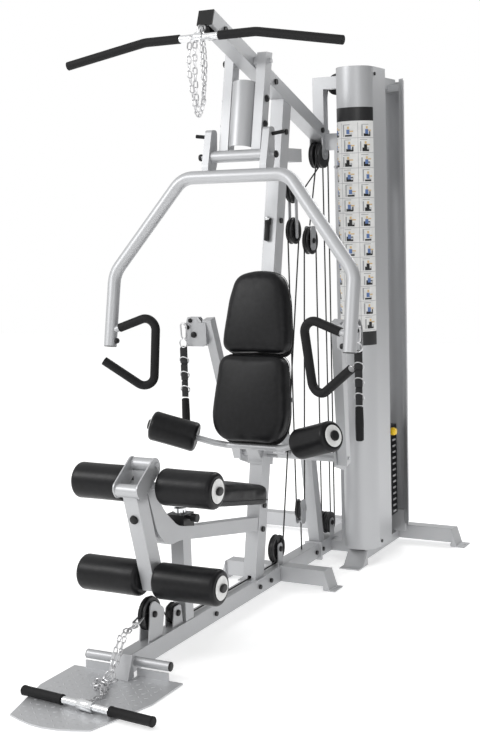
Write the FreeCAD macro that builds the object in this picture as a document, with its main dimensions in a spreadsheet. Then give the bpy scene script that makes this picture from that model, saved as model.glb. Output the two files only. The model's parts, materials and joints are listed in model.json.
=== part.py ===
import FreeCAD, Part

import math
import os
import re

from FreeCAD import Placement, Rotation, Vector

# Multi station home gym.  Millimetres; X to the right, Y to the rear, Z up from the floor.
# The origin is on the floor at the middle of the machine's length and width.

os.makedirs("parts", exist_ok=True)
doc = FreeCAD.newDocument("home_gym")
sheet = doc.addObject("Spreadsheet::Sheet", "dims")

SIZES = {
    "wall": 2.5, "gap": 0.5, "running": 0.06,
    "beam_half": 28, "beam_low": 16, "beam_top": 80, "beam_front": -780, "beam_joint": 716,
    "flange": 6, "beam_end": 1155, "foot_half": 273, "foot_reach": 545,
    "post_half": 27.5, "post_depth": 70, "lean": 11.01, "lean_foot": 102.7,
    "boom_half": 31, "boom_depth": 57, "boom_fall": 21.3, "boom_front": -85, "boom_back": 916,
    "boom_seat": 1964, "boom_seat_y": 460,
    "neck_half": 25, "neck_front": 871, "roof_low": 2019, "roof_top": 2069,
    "tower_x": 200, "tower_half": 30, "shroud_radius": 80, "shroud_wall": 2, "shroud_front": 810,
    "shroud_edge": 940, "shroud_low": 66, "shroud_top": 2090, "back_shroud": 1145,
    "plate_half": 45, "plate_front": 852, "plate_back": 1102, "plate_low": 150, "plate_step": 27,
    "plate_count": 14, "rod_radius": 9.5, "rod_front": 902, "rod_back": 1052, "stem_y": 977,
    "stem_radius": 12, "pin_radius": 5, "pin_z": 543,
    "yoke_y": 243, "yoke_z": 2076, "yoke_in": 50, "yoke_out": 88, "cross_y": 135, "cross_z": 1724,
    "cross_radius": 22.5, "arm_radius": 25, "arm_half": 508, "shoulder": 224, "arm_top": 1649,
    "elbow": 1290, "arm_end": 1010, "grip_radius": 17, "handle_radius": 13,
    "hub_y": -600, "hub_z": 685, "leg_y": -702, "leg_z": 615, "hub_radius": 22.5,
    "foam_radius": 62.5, "foam_in": 64, "foam_out": 274, "leg_foam_in": 31, "tube_radius": 12.5,
    "foam_y": -593, "foam_z": 612, "low_foam_y": -590, "low_foam_z": 283,
    "seat_y": -385, "seat_radius": 22.5, "seat_half": 140, "seat_tilt": 11, "seat_thick": 78,
    "swing_x": 243, "swing_y": 515, "swing_z": 509, "swing_top_x": 287, "swing_top_y": 380,
    "swing_top_z": 1060, "swing_tube": 40, "housing_x": 349, "housing_y": 372, "housing_z": 1019,
    "strap_x": 390, "strap_y": 340, "wheel_radius": 57, "wheel_half": 11, "axle": 6,
    "cable": 3, "lat_y": -128, "lat_z": 2131, "lat_bend": 226, "lat_end": 554, "lat_drop": 58,
    "bar_radius": 12.5, "lat_grip_in": 80, "plate_z": 6,
    "pad_thick": 71, "low_pad_off": 38, "high_pad_off": 20,
}

for row, (word, value) in enumerate(SIZES.items(), start=1):
    sheet.set(f"A{row}", word)
    sheet.set(f"B{row}", str(value))
    sheet.setAlias(f"B{row}", word)
doc.recompute()

size = {word: float(sheet.get(word)) for word in SIZES}
NODES = []


def bound(text):
    """An expression whose words are sheet aliases."""
    return re.sub(r"[a-z][a-z_]*", lambda word: "dims." + word.group(0), str(text))


def bind(thing, field, text):
    thing.setExpression(field, bound(text))


def block(name, x, y, z):
    """A box between pairs of expressions."""
    thing = doc.addObject("Part::Box", name)
    for field, corner, (low, high) in zip(("Length", "Width", "Height"), "xyz", (x, y, z)):
        bind(thing, field, f"({high}) - ({low})")
        bind(thing, "Placement.Base." + corner, low)
    return thing


def rod(name, radius, start, end):
    """A round bar from one point to another, its radius bound to the sheet."""
    thing = doc.addObject("Part::Cylinder", name)
    run = Vector(*end) - Vector(*start)
    bind(thing, "Radius", radius)
    thing.Height = run.Length
    thing.Placement = Placement(Vector(*start), Rotation(Vector(0, 0, 1), run))
    return thing


def ring(name, outer, inner, start, end):
    """A round tube or a pulley blank: one bar less another."""
    run = (Vector(*end) - Vector(*start)).normalize()
    over = [tuple(Vector(*start) - run), tuple(Vector(*end) + run)]
    return cut(name, rod(name + "_outer", outer, start, end), rod(name + "_inner", inner, *over))


def cut(name, base, *tools):
    thing = doc.addObject("Part::Cut", name)
    thing.Base = base
    thing.Tool = tools[0] if len(tools) == 1 else joined(name + "_tools", *tools)
    return thing


def joined(name, *parts):
    """Welded pieces: one solid."""
    thing = doc.addObject("Part::MultiFuse", name)
    thing.Shapes = list(parts)
    return thing


def grouped(name, *parts):
    """Separate solids of one kind."""
    thing = doc.addObject("Part::Compound", name)
    thing.Links = list(parts)
    return thing


PLANES = {"YZ": "YZ_Plane", "XZ": "XZ_Plane", "XY": "XY_Plane"}


def rounded(outline, radii):
    """The edges of a closed outline, with a tangent arc at each corner that has a radius."""
    corners = [Vector(across, along, 0) for across, along in outline]
    radii = radii if isinstance(radii, (list, tuple)) else [radii] * len(corners)
    arcs = []
    around = zip(corners[-1:] + corners, corners, corners[1:] + corners[:1], radii)
    for before, corner, after, radius in around:
        back = (before - corner).normalize()
        ahead = (after - corner).normalize()
        half = back.getAngle(ahead) / 2
        reach = radius / math.tan(half)
        middle = (back + ahead).normalize()
        nearest = corner + middle * (radius / math.sin(half) - radius)
        arcs.append((corner + back * reach, nearest, corner + ahead * reach))
    edges = []
    for number, (start, nearest, end) in enumerate(arcs):
        if (end - start).Length > 1e-3:
            edges.append(Part.Arc(start, nearest, end))
        following = arcs[(number + 1) % len(arcs)][0]
        if (following - end).Length > 1e-3:
            edges.append(Part.LineSegment(end, following))
    return edges


def profile(name, plane, outline, low, high, radii=0):
    """A flat outline in one plane, padded from low to high along the plane's axis."""
    body = doc.addObject("PartDesign::Body", name)
    sketch = body.newObject("Sketcher::SketchObject", name + "_sketch")
    role = PLANES[plane]
    support = [one for one in body.Origin.OriginFeatures if one.Role == role][0]
    sketch.AttachmentSupport = (support, [""])
    sketch.MapMode = "FlatFace"
    for edge in rounded(outline, radii):
        sketch.addGeometry(edge)
    pad = body.newObject("PartDesign::Pad", name + "_pad")
    pad.Profile = sketch
    bind(pad, "Length", f"({high}) - ({low})")
    offset = low
    if plane == "XZ":
        offset = f"-({high})"
    bind(sketch, "AttachmentOffset.Base.z", offset)
    return body


def route(points, bend):
    """A wire of straight runs with a tangent arc at every inner point."""
    points = [Vector(*point) for point in points]
    bends = bend if isinstance(bend, (list, tuple)) else [bend] * (len(points) - 2)
    edges = []
    here = points[0]
    for before, corner, after, radius in zip(points, points[1:], points[2:], bends):
        back = (before - corner).normalize()
        ahead = (after - corner).normalize()
        half = back.getAngle(ahead) / 2
        reach = radius / math.tan(half)
        middle = (back + ahead).normalize()
        centre = corner + middle * (radius / math.sin(half))
        start = corner + back * reach
        end = corner + ahead * reach
        if (start - here).Length > 1e-3:
            edges.append(Part.LineSegment(here, start).toShape())
        edges.append(Part.Arc(start, centre - middle * radius, end).toShape())
        here = end
    edges.append(Part.LineSegment(here, points[-1]).toShape())
    return Part.Wire(edges)


def swept(name, radius, points, bend):
    """A round bar along a route."""
    spine = doc.addObject("Part::Feature", name + "_spine")
    spine.Shape = route(points, bend)
    section = doc.addObject("Part::Circle", name + "_section")
    bind(section, "Radius", radius)
    facing = Vector(*points[1]) - Vector(*points[0])
    section.Placement = Placement(Vector(*points[0]), Rotation(Vector(0, 0, 1), facing))
    thing = doc.addObject("Part::Sweep", name)
    thing.Sections = [section]
    thing.Spine = (spine, [f"Edge{i + 1}" for i in range(len(spine.Shape.Edges))])
    thing.Solid = True
    thing.Frenet = False
    doc.recompute()
    wanted = math.pi * size_of(radius) ** 2 * spine.Shape.Length
    if abs(thing.Shape.Volume - wanted) > 0.01 * wanted:
        raise RuntimeError(f"{name} sweep volume {thing.Shape.Volume:.0f} is not {wanted:.0f}")
    return thing


def size_of(text):
    """The value of an expression of aliases and numbers joined by plus and minus."""
    total = 0.0
    for sign, word in re.findall(r"([+-]?)\s*([a-z_]+|[0-9.]+)", str(text)):
        value = size[word] if word in size else float(word)
        total += -value if sign == "-" else value
    return total


def piped(name, outer, inner, points, bend):
    """A round tube along a route, open at both ends."""
    skin = swept(name + "_outer", outer, points, bend)
    return cut(name, skin, swept(name + "_inner", inner, points, bend))


def square_tube(name, x, y, z, along):
    """A straight square tube, open at both ends, along one axis."""
    inner = []
    for axis, (low, high) in zip("xyz", (x, y, z)):
        if axis == along:
            inner.append((f"{low} - 1", f"{high} + 1"))
        else:
            inner.append((f"{low} + wall", f"{high} - wall"))
    return cut(name, block(name + "_skin", x, y, z), block(name + "_hollow", *inner))


def leaning_tube(name, front, back, low, high):
    """A tube in the YZ plane: front and back edges as point pairs, open at its ends."""
    front = [Vector(0, *point) for point in front]
    back = [Vector(0, *point) for point in back]
    along = (front[1] - front[0]).normalize()
    across = Vector(0, -along.z, along.y)
    if across.dot(back[0] - front[0]) < 0:
        across = across * -1
    inset = across * size["wall"]
    outer = [(p.y, p.z) for p in (front[0], front[1], back[1], back[0])]
    hollow = []
    for start, end, side in ((front[0], front[1], 1), (back[1], back[0], -1)):
        run = (end - start).normalize()
        hollow.append(start - run * 30 + inset * side)
        hollow.append(end + run * 30 + inset * side)
    hollow = [(p.y, p.z) for p in hollow]
    skin = profile(name + "_skin", "YZ", outer, low, high)
    inside = profile(name + "_hollow", "YZ", hollow, f"{low} + wall", f"{high} - wall")
    return cut(name, skin, inside)


def wheel(name, centre, axis, radius="wheel_radius", half="wheel_half", bore="axle"):
    """A grooved cable pulley on an axle that runs along X or Y."""
    direction = Vector(1, 0, 0) if axis == "X" else Vector(0, 1, 0)
    middle = Vector(*centre)
    width = direction * size_of(half)
    body = ring(name + "_blank", radius, bore + " + running", tuple(middle - width), tuple(middle + width))
    groove = doc.addObject("Part::Torus", name + "_groove")
    bind(groove, "Radius1", radius + " + 1")
    bind(groove, "Radius2", "cable + 2")
    groove.Placement = Placement(middle, Rotation(Vector(0, 0, 1), direction))
    return cut(name, body, groove)


def node(name, thing):
    """Names one finished sub-part."""
    thing.Label = name
    NODES.append((name, thing))
    return thing


def tilted(thing, base, angle):
    """Turns a body about X at a point."""
    thing.Placement = Placement(Vector(*base), Rotation(Vector(1, 0, 0), angle))
    return thing


def crossing(start, slope_a, point, slope_b):
    """Where two lines in the YZ plane meet: each a point and its rise of Z per Y."""
    y = (point[1] - start[1] + slope_a * start[0] - slope_b * point[0]) / (slope_a - slope_b)
    return (y, start[1] + slope_a * (y - start[0]))


# ---- directions and lines that the leaning frame is set out from
LEAN = math.radians(size["lean"])
FALL = math.radians(size["boom_fall"])
POST_RISE = 1 / math.tan(LEAN)
BOOM_SLOPE = -math.tan(FALL)
post_foot = (size["lean_foot"], 0.0)
post_rear_foot = (size["lean_foot"] + size["post_depth"] / math.cos(LEAN), 0.0)
boom_seat = (size["boom_seat_y"], size["boom_seat"])
boom_rise = size["boom_depth"] / math.cos(FALL)


def on_post(z, depth=0.0):
    """A point of the upright's front face, moved to the rear by a depth square to it."""
    return (size["lean_foot"] + z * math.tan(LEAN) + depth / math.cos(LEAN), z)


def boom_bottom(y):
    return size["boom_seat"] + BOOM_SLOPE * (y - size["boom_seat_y"])


def leaned(x, out, up):
    """A point in the upright's own frame: out to the rear and up along it."""
    y = size["lean_foot"] + up * math.sin(LEAN) + out * math.cos(LEAN)
    return (x, y, up * math.cos(LEAN) - out * math.sin(LEAN))


# ---- base
beam_x = ("-beam_half", "beam_half")
beam_z = ("beam_low", "beam_top")
front_beam = square_tube("front_beam", beam_x, ("beam_front", "beam_joint"), beam_z, "y")
peg_hole = rod("peg_hole", "16", (-60, -748, 50), (60, -748, 50))
peg = ring("peg", "16", "13.5", (-163, -748, 50), (163, -748, 50))
front_slope = [(-780, 84), (-786, 84), (-818, 6), (-780, 6)]
front_plate = profile("front_plate", "YZ", front_slope, "-40", "40")
joint_plate = block("joint_plate", ("-40", "40"), ("beam_joint", "beam_joint + flange"), ("plate_z", "84"))
holed_beam = cut("holed_beam", front_beam, peg_hole)
node("base_beam", joined("base_beam", holed_beam, peg, front_plate, joint_plate))

rear_beam = square_tube("rear_beam", beam_x, ("beam_joint + 2*flange", "beam_end"), beam_z, "y")
rear_flange_y = ("beam_joint + flange", "beam_joint + 2*flange")
rear_flange = block("rear_flange", ("-40", "40"), rear_flange_y, ("plate_z", "84"))
node("base_rear_beam", joined("base_rear_beam", rear_beam, rear_flange))


def foot_plate():
    """The tread plate in front: straight wings, tapering sides and a bowed front edge."""
    bow = 6
    points = [(-215, -760), (-215, -948), (-150, -1190)]
    for step in range(1, bow):
        share = step / bow
        points.append((-150 + 300 * share, -1190 - 40 * math.sin(math.pi * share)))
    points += [(150, -1190), (215, -948), (215, -760), (40, -760), (40, -790), (-40, -790), (-40, -760)]
    flat = profile("tread", "XY", points, "0", "plate_z")
    curls = []
    for side, (low, high) in (("left", ("-163", "-42")), ("right", ("42", "163"))):
        curls.append(block("curl_" + side, (low, high), ("-766", "-760"), ("plate_z", "33")))
    return joined("foot_plate", flat, *curls)


node("foot_plate", foot_plate())


def stabilizer(name, half, reach, y, tab):
    """A cross tube with a sloping foot tab at each end."""
    tube = square_tube(name + "_tube", (f"-{half}", half), y, beam_z, "x")
    half, reach = size_of(half), size_of(reach)
    top = size["beam_top"]
    parts = [tube]
    for side, sign in (("left", -1), ("right", 1)):
        outline = [(half, top), (half + 24, 6), (reach, 6), (reach, 0)]
        outline += [(half - 6, 0), (half - 6, 16), (half, 16)]
        outline = [(sign * x, z) for x, z in outline]
        foot = profile(f"{name}_foot_{side}", "XZ", outline, tab[0], tab[1])
        hole_x = sign * (reach - 14)
        hole_y = (size_of(tab[0]) + size_of(tab[1])) / 2
        hole = rod(f"{name}_hole_{side}", "5.5", (hole_x, hole_y, -1), (hole_x, hole_y, 8))
        parts.append(cut(f"{name}_tab_{side}", foot, hole))
    return joined(name + "_all", *parts)


middle = stabilizer("middle", "225", "foot_half", ("340", "400"), ("331", "410"))
notch = block("middle_notch", beam_x, ("320", "420"), ("0", "beam_top + 1"))
node("mid_stabilizer", cut("mid_stabilizer", middle, notch))
rear_y = ("beam_end", "beam_end + 56")
node("rear_stabilizer", stabilizer("rear", "484", "foot_reach", rear_y, ("1142", "1224")))

tower_x = ("tower_x - tower_half", "tower_x + tower_half")
tower_tube = square_tube("tower_tube", tower_x, ("745", "beam_end"), ("beam_low", "62"), "y")
tower_foot = profile("tower_foot", "YZ", [(745, 62), (690, 6), (640, 6), (640, 0), (745, 0)], "155", "245")
tower_tab = block("tower_tab", ("122", "278"), ("812", "828"), ("62", "104"))
tower_back = block("tower_back", ("122", "278"), ("1112", "1130"), ("62", "160"))
tower_deck = block("tower_deck", ("150", "250"), ("870", "1084"), ("62", "68"))
node("tower_base", joined("tower_base", tower_tube, tower_foot, tower_tab, tower_back, tower_deck))

# ---- upright, boom and gooseneck
front_top = crossing(boom_seat, BOOM_SLOPE, post_foot, POST_RISE)
back_top = crossing(boom_seat, BOOM_SLOPE, post_rear_foot, POST_RISE)
post_front = [on_post(size["beam_top"]), front_top]
post_back = [on_post(size["beam_top"], size["post_depth"]), back_top]
post_tube = leaning_tube("post_tube", post_front, post_back, "-post_half", "post_half")
stub_front = [on_post(1763, size["post_depth"]), (632, 1763)]
stub_back = [on_post(1710, size["post_depth"]), (632, 1710)]
stub = leaning_tube("stub", stub_front, stub_back, "-beam_half", "beam_half")


def pad_bracket(name, up, stand_off):
    """A short square arm that carries a back pad in front of the upright."""
    reach = -size[stand_off]
    corners = ((0, up), (reach, up), (reach, up + 50), (0, up + 50))
    return profile(name, "YZ", [leaned(0, out, along)[1:] for out, along in corners], "-20", "20")


base_shoe = block("base_shoe", ("-40", "40"), ("96", "206"), ("beam_top", "84"))
cable_way = block("cable_way", ("-8", "8"), ("60", "260"), ("84", "98"))
eye_bolt = rod("eye_bolt", "6", (0, 546, 1700), (0, 546, 1714))
pad_arms = [pad_bracket("low_arm", 760, "low_pad_off"), pad_bracket("high_arm", 1110, "high_pad_off")]
post_open = cut("post_open", post_tube, cable_way)
node("upright", joined("upright", post_open, stub, eye_bolt, *pad_arms, base_shoe))

fall_along = (math.cos(FALL), -math.sin(FALL))
boom_low = [(y, boom_bottom(y)) for y in (size["boom_front"], size["boom_back"])]
square_up = (size["boom_depth"] * math.sin(FALL), size["boom_depth"] * math.cos(FALL))
boom_high = [
    (boom_low[0][0] + square_up[0], boom_low[0][1] + square_up[1]),
    (size["boom_back"], boom_low[1][1] + boom_rise),
]
boom_tube = leaning_tube("boom_tube", boom_low, boom_high, "-boom_half", "boom_half")
mouth = block("boom_mouth", ("-15", "15"), ("-84", "12"), ("2100", "2185"))
yoke_axis = (size["yoke_y"], size["yoke_z"])
yoke_bore = rod("yoke_bore", "10 + running", (-60, *yoke_axis), (60, *yoke_axis))
lat_wheel = (-40, 2170)
lat_axle = rod("lat_axle", "axle", (-30, *lat_wheel), (30, *lat_wheel))
node("boom", joined("boom", cut("boom_open", boom_tube, mouth, yoke_bore), lat_axle))

neck_low = size["boom_seat"] + BOOM_SLOPE * (size["neck_front"] - size["boom_seat_y"]) + boom_rise
neck_end = boom_high[1][1]
neck_front = [(size["neck_front"], neck_low), (size["neck_front"], size["roof_top"])]
neck_back = [(size["boom_back"], neck_end), (size["boom_back"], size["roof_top"])]
neck_post = leaning_tube("neck_post", neck_front, neck_back, "-neck_half", "neck_half")
neck_y = ("neck_front", "boom_back")
neck_arm = square_tube("neck_arm", ("neck_half", "175"), neck_y, ("roof_low", "roof_top"), "x")
neck_shelf = block("neck_shelf", ("20", "168"), ("boom_back", "962"), ("2035", "2053"))
neck_axles = [rod(f"neck_axle_{i}", "axle", (x, 962, 2044), (x, 990, 2044)) for i, x in enumerate((45, 155))]
node("gooseneck", joined("gooseneck", neck_post, neck_arm, neck_shelf, *neck_axles))

rear_tube = square_tube("rear_tube", ("80", "116"), ("850", "900"), ("62", "1764"), "z")
rear_tie = block("rear_tie", ("boom_half", "116"), ("871", "900"), ("1764", "1833"))
rear_step = square_tube("rear_step", ("beam_half", "170"), ("850", "910"), ("beam_low", "62"), "x")
rear_hook = rod("rear_hook", "6", (98, 850, 1690), (98, 815, 1690))
node("rear_upright", joined("rear_upright", rear_tube, rear_tie, rear_step, rear_hook))

roof = square_tube("roof", ("175", "225"), ("745", "1200"), ("roof_low", "roof_top"), "y")
roof_slot = block("roof_slot", ("170", "203"), ("960", "994"), ("2000", "2080"))
roof_drop = block("roof_drop", ("190", "215"), ("960", "994"), ("2000", "2030"))
roof_tab = block("roof_tab", ("122", "278"), ("812", "828"), ("2030", "roof_top + 10"))
roof_back = block("roof_back", ("122", "278"), ("1112", "1130"), ("2010", "2040"))
slotted_roof = cut("slotted_roof", roof, roof_slot, roof_drop)
node("tower_top_beam", joined("tower_top_beam", slotted_roof, roof_tab, roof_back))

# ---- rear post with its brace and the cross tube of the swinging arms
brace_slope = -0.39
brace_low = (340, 598.2)
brace_high = (340, 651.8)
rear_face = on_post(600, size["post_depth"])
brace_end = 712
brace_fall = brace_slope * (brace_end - brace_low[0])
brace_edges = []
for start in (brace_low, brace_high):
    meets_post = crossing(start, brace_slope, rear_face, POST_RISE)
    brace_edges.append([meets_post, (brace_end, start[1] + brace_fall)])
brace = leaning_tube("brace", *brace_edges, "-neck_half", "neck_half")
stand_slope = -1 / math.tan(math.radians(9.65))
stand_front = (729, 80)
stand_back = (779.7, 80)
stand_head_front = crossing(brace_low, brace_slope, stand_front, stand_slope)
stand_head_back = crossing(brace_low, brace_slope, stand_back, stand_slope)
stand_edges = ([stand_front, stand_head_front], [stand_back, stand_head_back])
stand = leaning_tube("stand", *stand_edges, "-neck_half", "neck_half")
swing_axis = (size["swing_y"], size["swing_z"])
swing_bar = rod("swing_bar", "18", (-215, *swing_axis), (215, *swing_axis))
brace_slot = block("brace_slot", ("-12", "12"), ("476", "668"), ("450", "640"))
swing_lugs = []
for side, reach in (("left", ("-25", "-13")), ("right", ("13", "25"))):
    swing_lugs.append(block("swing_lug_" + side, reach, ("497", "533"), ("swing_z", "540")))


def sector(name, side):
    """A quadrant plate with a ring of pin holes behind a swinging arm's pivot."""
    y, z = swing_axis
    points = [(y - 40, z - 30), (y + 50, z - 60), (y + 92, z - 40)]
    points += [(y + 104, z + 90), (y, z + 94), (y - 40, z + 40)]
    low, high = ("215", "221") if side > 0 else ("-221", "-215")
    plate = profile(name, "YZ", points, low, high, [12, 12, 20, 70, 30, 12])
    holes = []
    for step in range(5):
        turn = math.radians(5 + 20 * step)
        hole = (y + 76 * math.cos(turn), z + 76 * math.sin(turn))
        holes.append(rod(f"{name}_hole_{step}", "6", (side * 210, *hole), (side * 226, *hole)))
    return cut(name + "_holed", plate, *holes)


swing_pins = []
for side in (-1, 1):
    swing_pins.append(rod(f"swing_pin_{side + 1}", "8", (side * 221, *swing_axis), (side * 268, *swing_axis)))
sectors = [sector("sector_left", -1), sector("sector_right", 1)]
slotted_brace = cut("slotted_brace", brace, brace_slot)
node("rear_post", joined("rear_post", slotted_brace, stand, swing_bar, *swing_lugs, *sectors, *swing_pins))

# ---- seat frame: the bent front arm, its strut and the fixed roller tube


HUB_AXIS = (size["hub_y"], size["hub_z"])


def arm_top(y):
    """The height of the seat arm's upper face between its first two bends."""
    return 403 - 0.217 * (y + 291)


def seat_frame():
    """The J shaped arm that carries the seat and the leg developer's pivot."""
    start_top = crossing((69, 341), -0.1722, on_post(330), POST_RISE)
    start_low = crossing((90, 284), -0.1875, on_post(280), POST_RISE)
    outline = [start_top, (-291, 403), (-440, arm_top(-440)), (-530, 510), (-592, 612), (-596, 668)]
    outline += [(-634, 668), (-630, 600), (-578, 446), (-510, 378), (-433, 384), (-294, 356), start_low]
    radii = [0, 300, 110, 300, 160, 0, 0, 160, 90, 90, 300, 300, 0]
    arm = profile("seat_arm", "YZ", outline, "-neck_half", "neck_half", radii)
    hub = rod("seat_hub", "hub_radius", (-42.5, *HUB_AXIS), (42.5, *HUB_AXIS))
    strut_y = ("seat_y - 27.5", "seat_y + 27.5")
    strut = block("seat_strut", ("-neck_half", "neck_half"), strut_y, ("beam_top", "400"))
    foam_axis = (size["foam_y"], size["foam_z"])
    tube = rod("roller_tube", "tube_radius", (-278, *foam_axis), (278, *foam_axis))
    socket = rod("seat_socket", "seat_radius + running", (0, size["seat_y"], 180), (0, size["seat_y"], 460))
    pivot = rod("pivot_bore", "10 + running", (-60, *HUB_AXIS), (60, *HUB_AXIS))
    stop = rod("leg_stop", "15", (0, -550, 425), (0, -584.4, 425))
    way = block("strut_way", ("-8", "8"), ("seat_y - 40", "seat_y + 40"), ("beam_top - 1", "98"))
    return cut("seat_frame", joined("seat_solid", arm, hub, strut, tube, stop), socket, pivot, way)


node("seat_frame", seat_frame())

# ---- weight tower
rods = []
for place, y in (("front", "rod_front"), ("back", "rod_back")):
    here = (size["tower_x"], size[y])
    rods.append(rod("guide_" + place, "rod_radius", (*here, 68), (*here, size["roof_low"])))
    sleeve = ring("bumper_" + place, "24", "rod_radius", (*here, 68), (*here, size["plate_low"]))
    rods.append(sleeve)
node("guide_rods", grouped("guide_rods", *rods))


def weight(name, low, high):
    """One iron plate with its two guide holes and the stem hole."""
    plate_x = ("tower_x - plate_half", "tower_x + plate_half")
    slab = block(name + "_slab", plate_x, ("plate_front", "plate_back"), (low, high))
    holes = []
    for hole, y, radius in (("a", "rod_front", "rod_radius + 0.6"), ("b", "rod_back", "rod_radius + 0.6"),
                            ("c", "stem_y", "stem_radius + 1")):
        here = (size["tower_x"], size[y])
        holes.append(rod(f"{name}_{hole}", radius, (*here, 100), (*here, 700)))
    return slab, holes


plates = []
for number in range(int(size["plate_count"])):
    low = f"plate_low + {number}*plate_step"
    slab, holes = weight(f"plate_{number + 1}", low, low + " + plate_step - 0.4")
    plates.append(cut(f"plate_{number + 1}", slab, *holes))
node("weight_plates", grouped("weight_plates", *plates))

top_low = size["plate_low"] + size["plate_count"] * size["plate_step"]
stack_head = "plate_low + plate_count*plate_step"
slab, holes = weight("top_plate", stack_head, stack_head + " + 27")
stem_at = (size["tower_x"], size["stem_y"])
stem = rod("stem", "stem_radius", (*stem_at, 156), (*stem_at, 640))
top_collar = rod("top_collar", "20", (*stem_at, top_low + 20), (*stem_at, top_low + 48))
pin_axis = (size["stem_y"], size["pin_z"])
pin_way = rod("pin_way", "pin_radius + running", (size["tower_x"] - 14, *pin_axis), (300, *pin_axis))
holed_plate = cut("top_holed", slab, *holes[:2])
node("stack_top", cut("stack_top", joined("stack_solid", holed_plate, stem, top_collar), pin_way))

pin = rod("pin_shaft", "pin_radius", (size["tower_x"] - 13, *pin_axis), (272, *pin_axis))
knob = rod("pin_knob", "13", (262, *pin_axis), (292, *pin_axis))
node("selector_pin", joined("selector_pin", pin, knob))


def bent_sheet(name, middle, radius, wall, legs, low, high, sign):
    """A sheet bent to half a circle about a point, its two walls running on by the legs' length."""
    body = doc.addObject("PartDesign::Body", name)
    sketch = body.newObject("Sketcher::SketchObject", name + "_sketch")
    support = [one for one in body.Origin.OriginFeatures if one.Role == "XY_Plane"][0]
    sketch.AttachmentSupport = (support, [""])
    sketch.MapMode = "FlatFace"
    turn = (math.pi, 2 * math.pi) if sign < 0 else (0, math.pi)
    for reach in (radius, radius - wall):
        circle = Part.Circle(Vector(*middle, 0), Vector(0, 0, 1), reach)
        sketch.addGeometry(Part.ArcOfCircle(circle, *turn))
    for side in (-1, 1):
        x_outer = middle[0] + side * radius
        x_inner = middle[0] + side * (radius - wall)
        ends = [(x_outer, middle[1]), (x_inner, middle[1])]
        if legs:
            ends[1:1] = [(x_outer, middle[1] + legs), (x_inner, middle[1] + legs)]
        for start, end in zip(ends, ends[1:]):
            sketch.addGeometry(Part.LineSegment(Vector(*start, 0), Vector(*end, 0)))
    pad = body.newObject("PartDesign::Pad", name + "_pad")
    pad.Profile = sketch
    bind(pad, "Length", f"({high}) - ({low})")
    bind(sketch, "AttachmentOffset.Base.z", low)
    return body


def shroud(name, centre, edge, low, high, sign):
    """A tower cover: a half round end and two straight walls."""
    middle = (size["tower_x"], centre)
    radius, wall = size["shroud_radius"], size["shroud_wall"]
    return bent_sheet(name, middle, radius, wall, edge - centre, low, high, sign)


front_skin = shroud("front_skin", size["shroud_front"], size["shroud_edge"], "shroud_low", "shroud_top", -1)
arm_notch = block("arm_notch", ("110", "130"), ("869", "941"), ("2017", "2091"))
node("front_shroud", cut("front_shroud", front_skin, arm_notch))
rear_skin = shroud("rear_skin", size["back_shroud"], 1102, "100", "2060", 1)
lips = []
for side, sign in (("left", -1), ("right", 1)):
    foot = 200 + sign * 80
    outline = [(foot, 1102), (foot + sign * 24, 1080), (foot + sign * 26, 1082), (foot, 1105)]
    lips.append(profile("lip_" + side, "XY", outline, "100", "2060"))
node("rear_shroud", joined("rear_shroud", rear_skin, *lips))

# ---- press yoke and its guard
yoke_foot = (size["cross_y"], size["cross_z"])
yoke_lean = math.atan2(218 - 147, 2091 - 1748)
side_front = [(218 + 17 * math.tan(yoke_lean), 2108), (141, 1720)]
side_back = [(y + 51, z) for y, z in side_front]
yoke_sides = []
for side, (low, high) in (("left", ("-yoke_out", "-yoke_in")), ("right", ("yoke_in", "yoke_out"))):
    yoke_sides.append(leaning_tube("yoke_" + side, side_front, side_back, low, high))
yoke_pin = rod("yoke_pin", "10", (-98, *yoke_axis), (98, *yoke_axis))
yoke_hubs = []
for side in (-1, 1):
    yoke_hubs.append(rod(f"yoke_hub_{side + 1}", "20", (side * 31.6, *yoke_axis), (side * 51, *yoke_axis)))
cross_tube = ring("cross_tube", "cross_radius", "8 + running", (-108, *yoke_foot), (108, *yoke_foot))
cross_clear = rod("cross_clear", "cross_radius - 1", (-107, *yoke_foot), (107, *yoke_foot))
trimmed_sides = [cut(f"yoke_trim_{i}", one, cross_clear) for i, one in enumerate(yoke_sides)]
yoke_frame = joined("yoke_frame", *trimmed_sides, cross_tube)
node("press_yoke", joined("press_yoke", yoke_frame, yoke_pin, *yoke_hubs))


def guard():
    """The curved sheet between the yoke's side tubes."""
    body = bent_sheet("guard_body", (0, 0), 49.5, 2, 0, "0", "250", -1)
    foot = side_front[1][0] + 32 * math.tan(yoke_lean) + 18
    return tilted(body, (0, foot, 1752), -math.degrees(yoke_lean))


node("press_guard", guard())

# ---- press arm: brackets, the bent tube and two looped handles


def arm_point(x, z, out=0.0):
    """A point in the press arm's leaning plane."""
    return (x, 100 + 0.193 * (z - 1650) + out, z)


elbow_points = [arm_point(-size["arm_half"], size["arm_end"]), arm_point(-size["arm_half"], size["elbow"])]
elbow_points.append(arm_point(-size["shoulder"], size["arm_top"]))
arm_points = elbow_points + [(-x, y, z) for x, y, z in reversed(elbow_points)]
arm_tube = piped("arm_tube", "arm_radius", "arm_radius - wall", arm_points, [110, 90, 90, 110])


def bracket(side):
    """A bracket from the pivot at the cross tube down to the arm tube."""
    outline = [(134, 1826), (176, 1826), (170, 1700), (138, 1640), (92, 1640), (96, 1690)]
    low, high = ("109", "137") if side > 0 else ("-137", "-109")
    return profile(f"bracket_{side + 1}", "YZ", outline, low, high, [14, 14, 60, 14, 14, 40])


def handle(side):
    """The hooked handle inside the arm tube's lower end: its root, two bends and free end."""
    points = [(497, -12, 1071), (311, 8, 1137), (346, 24, 821), (524, -48, 955)]
    return [(side * x, y, z) for x, y, z in points]


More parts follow.
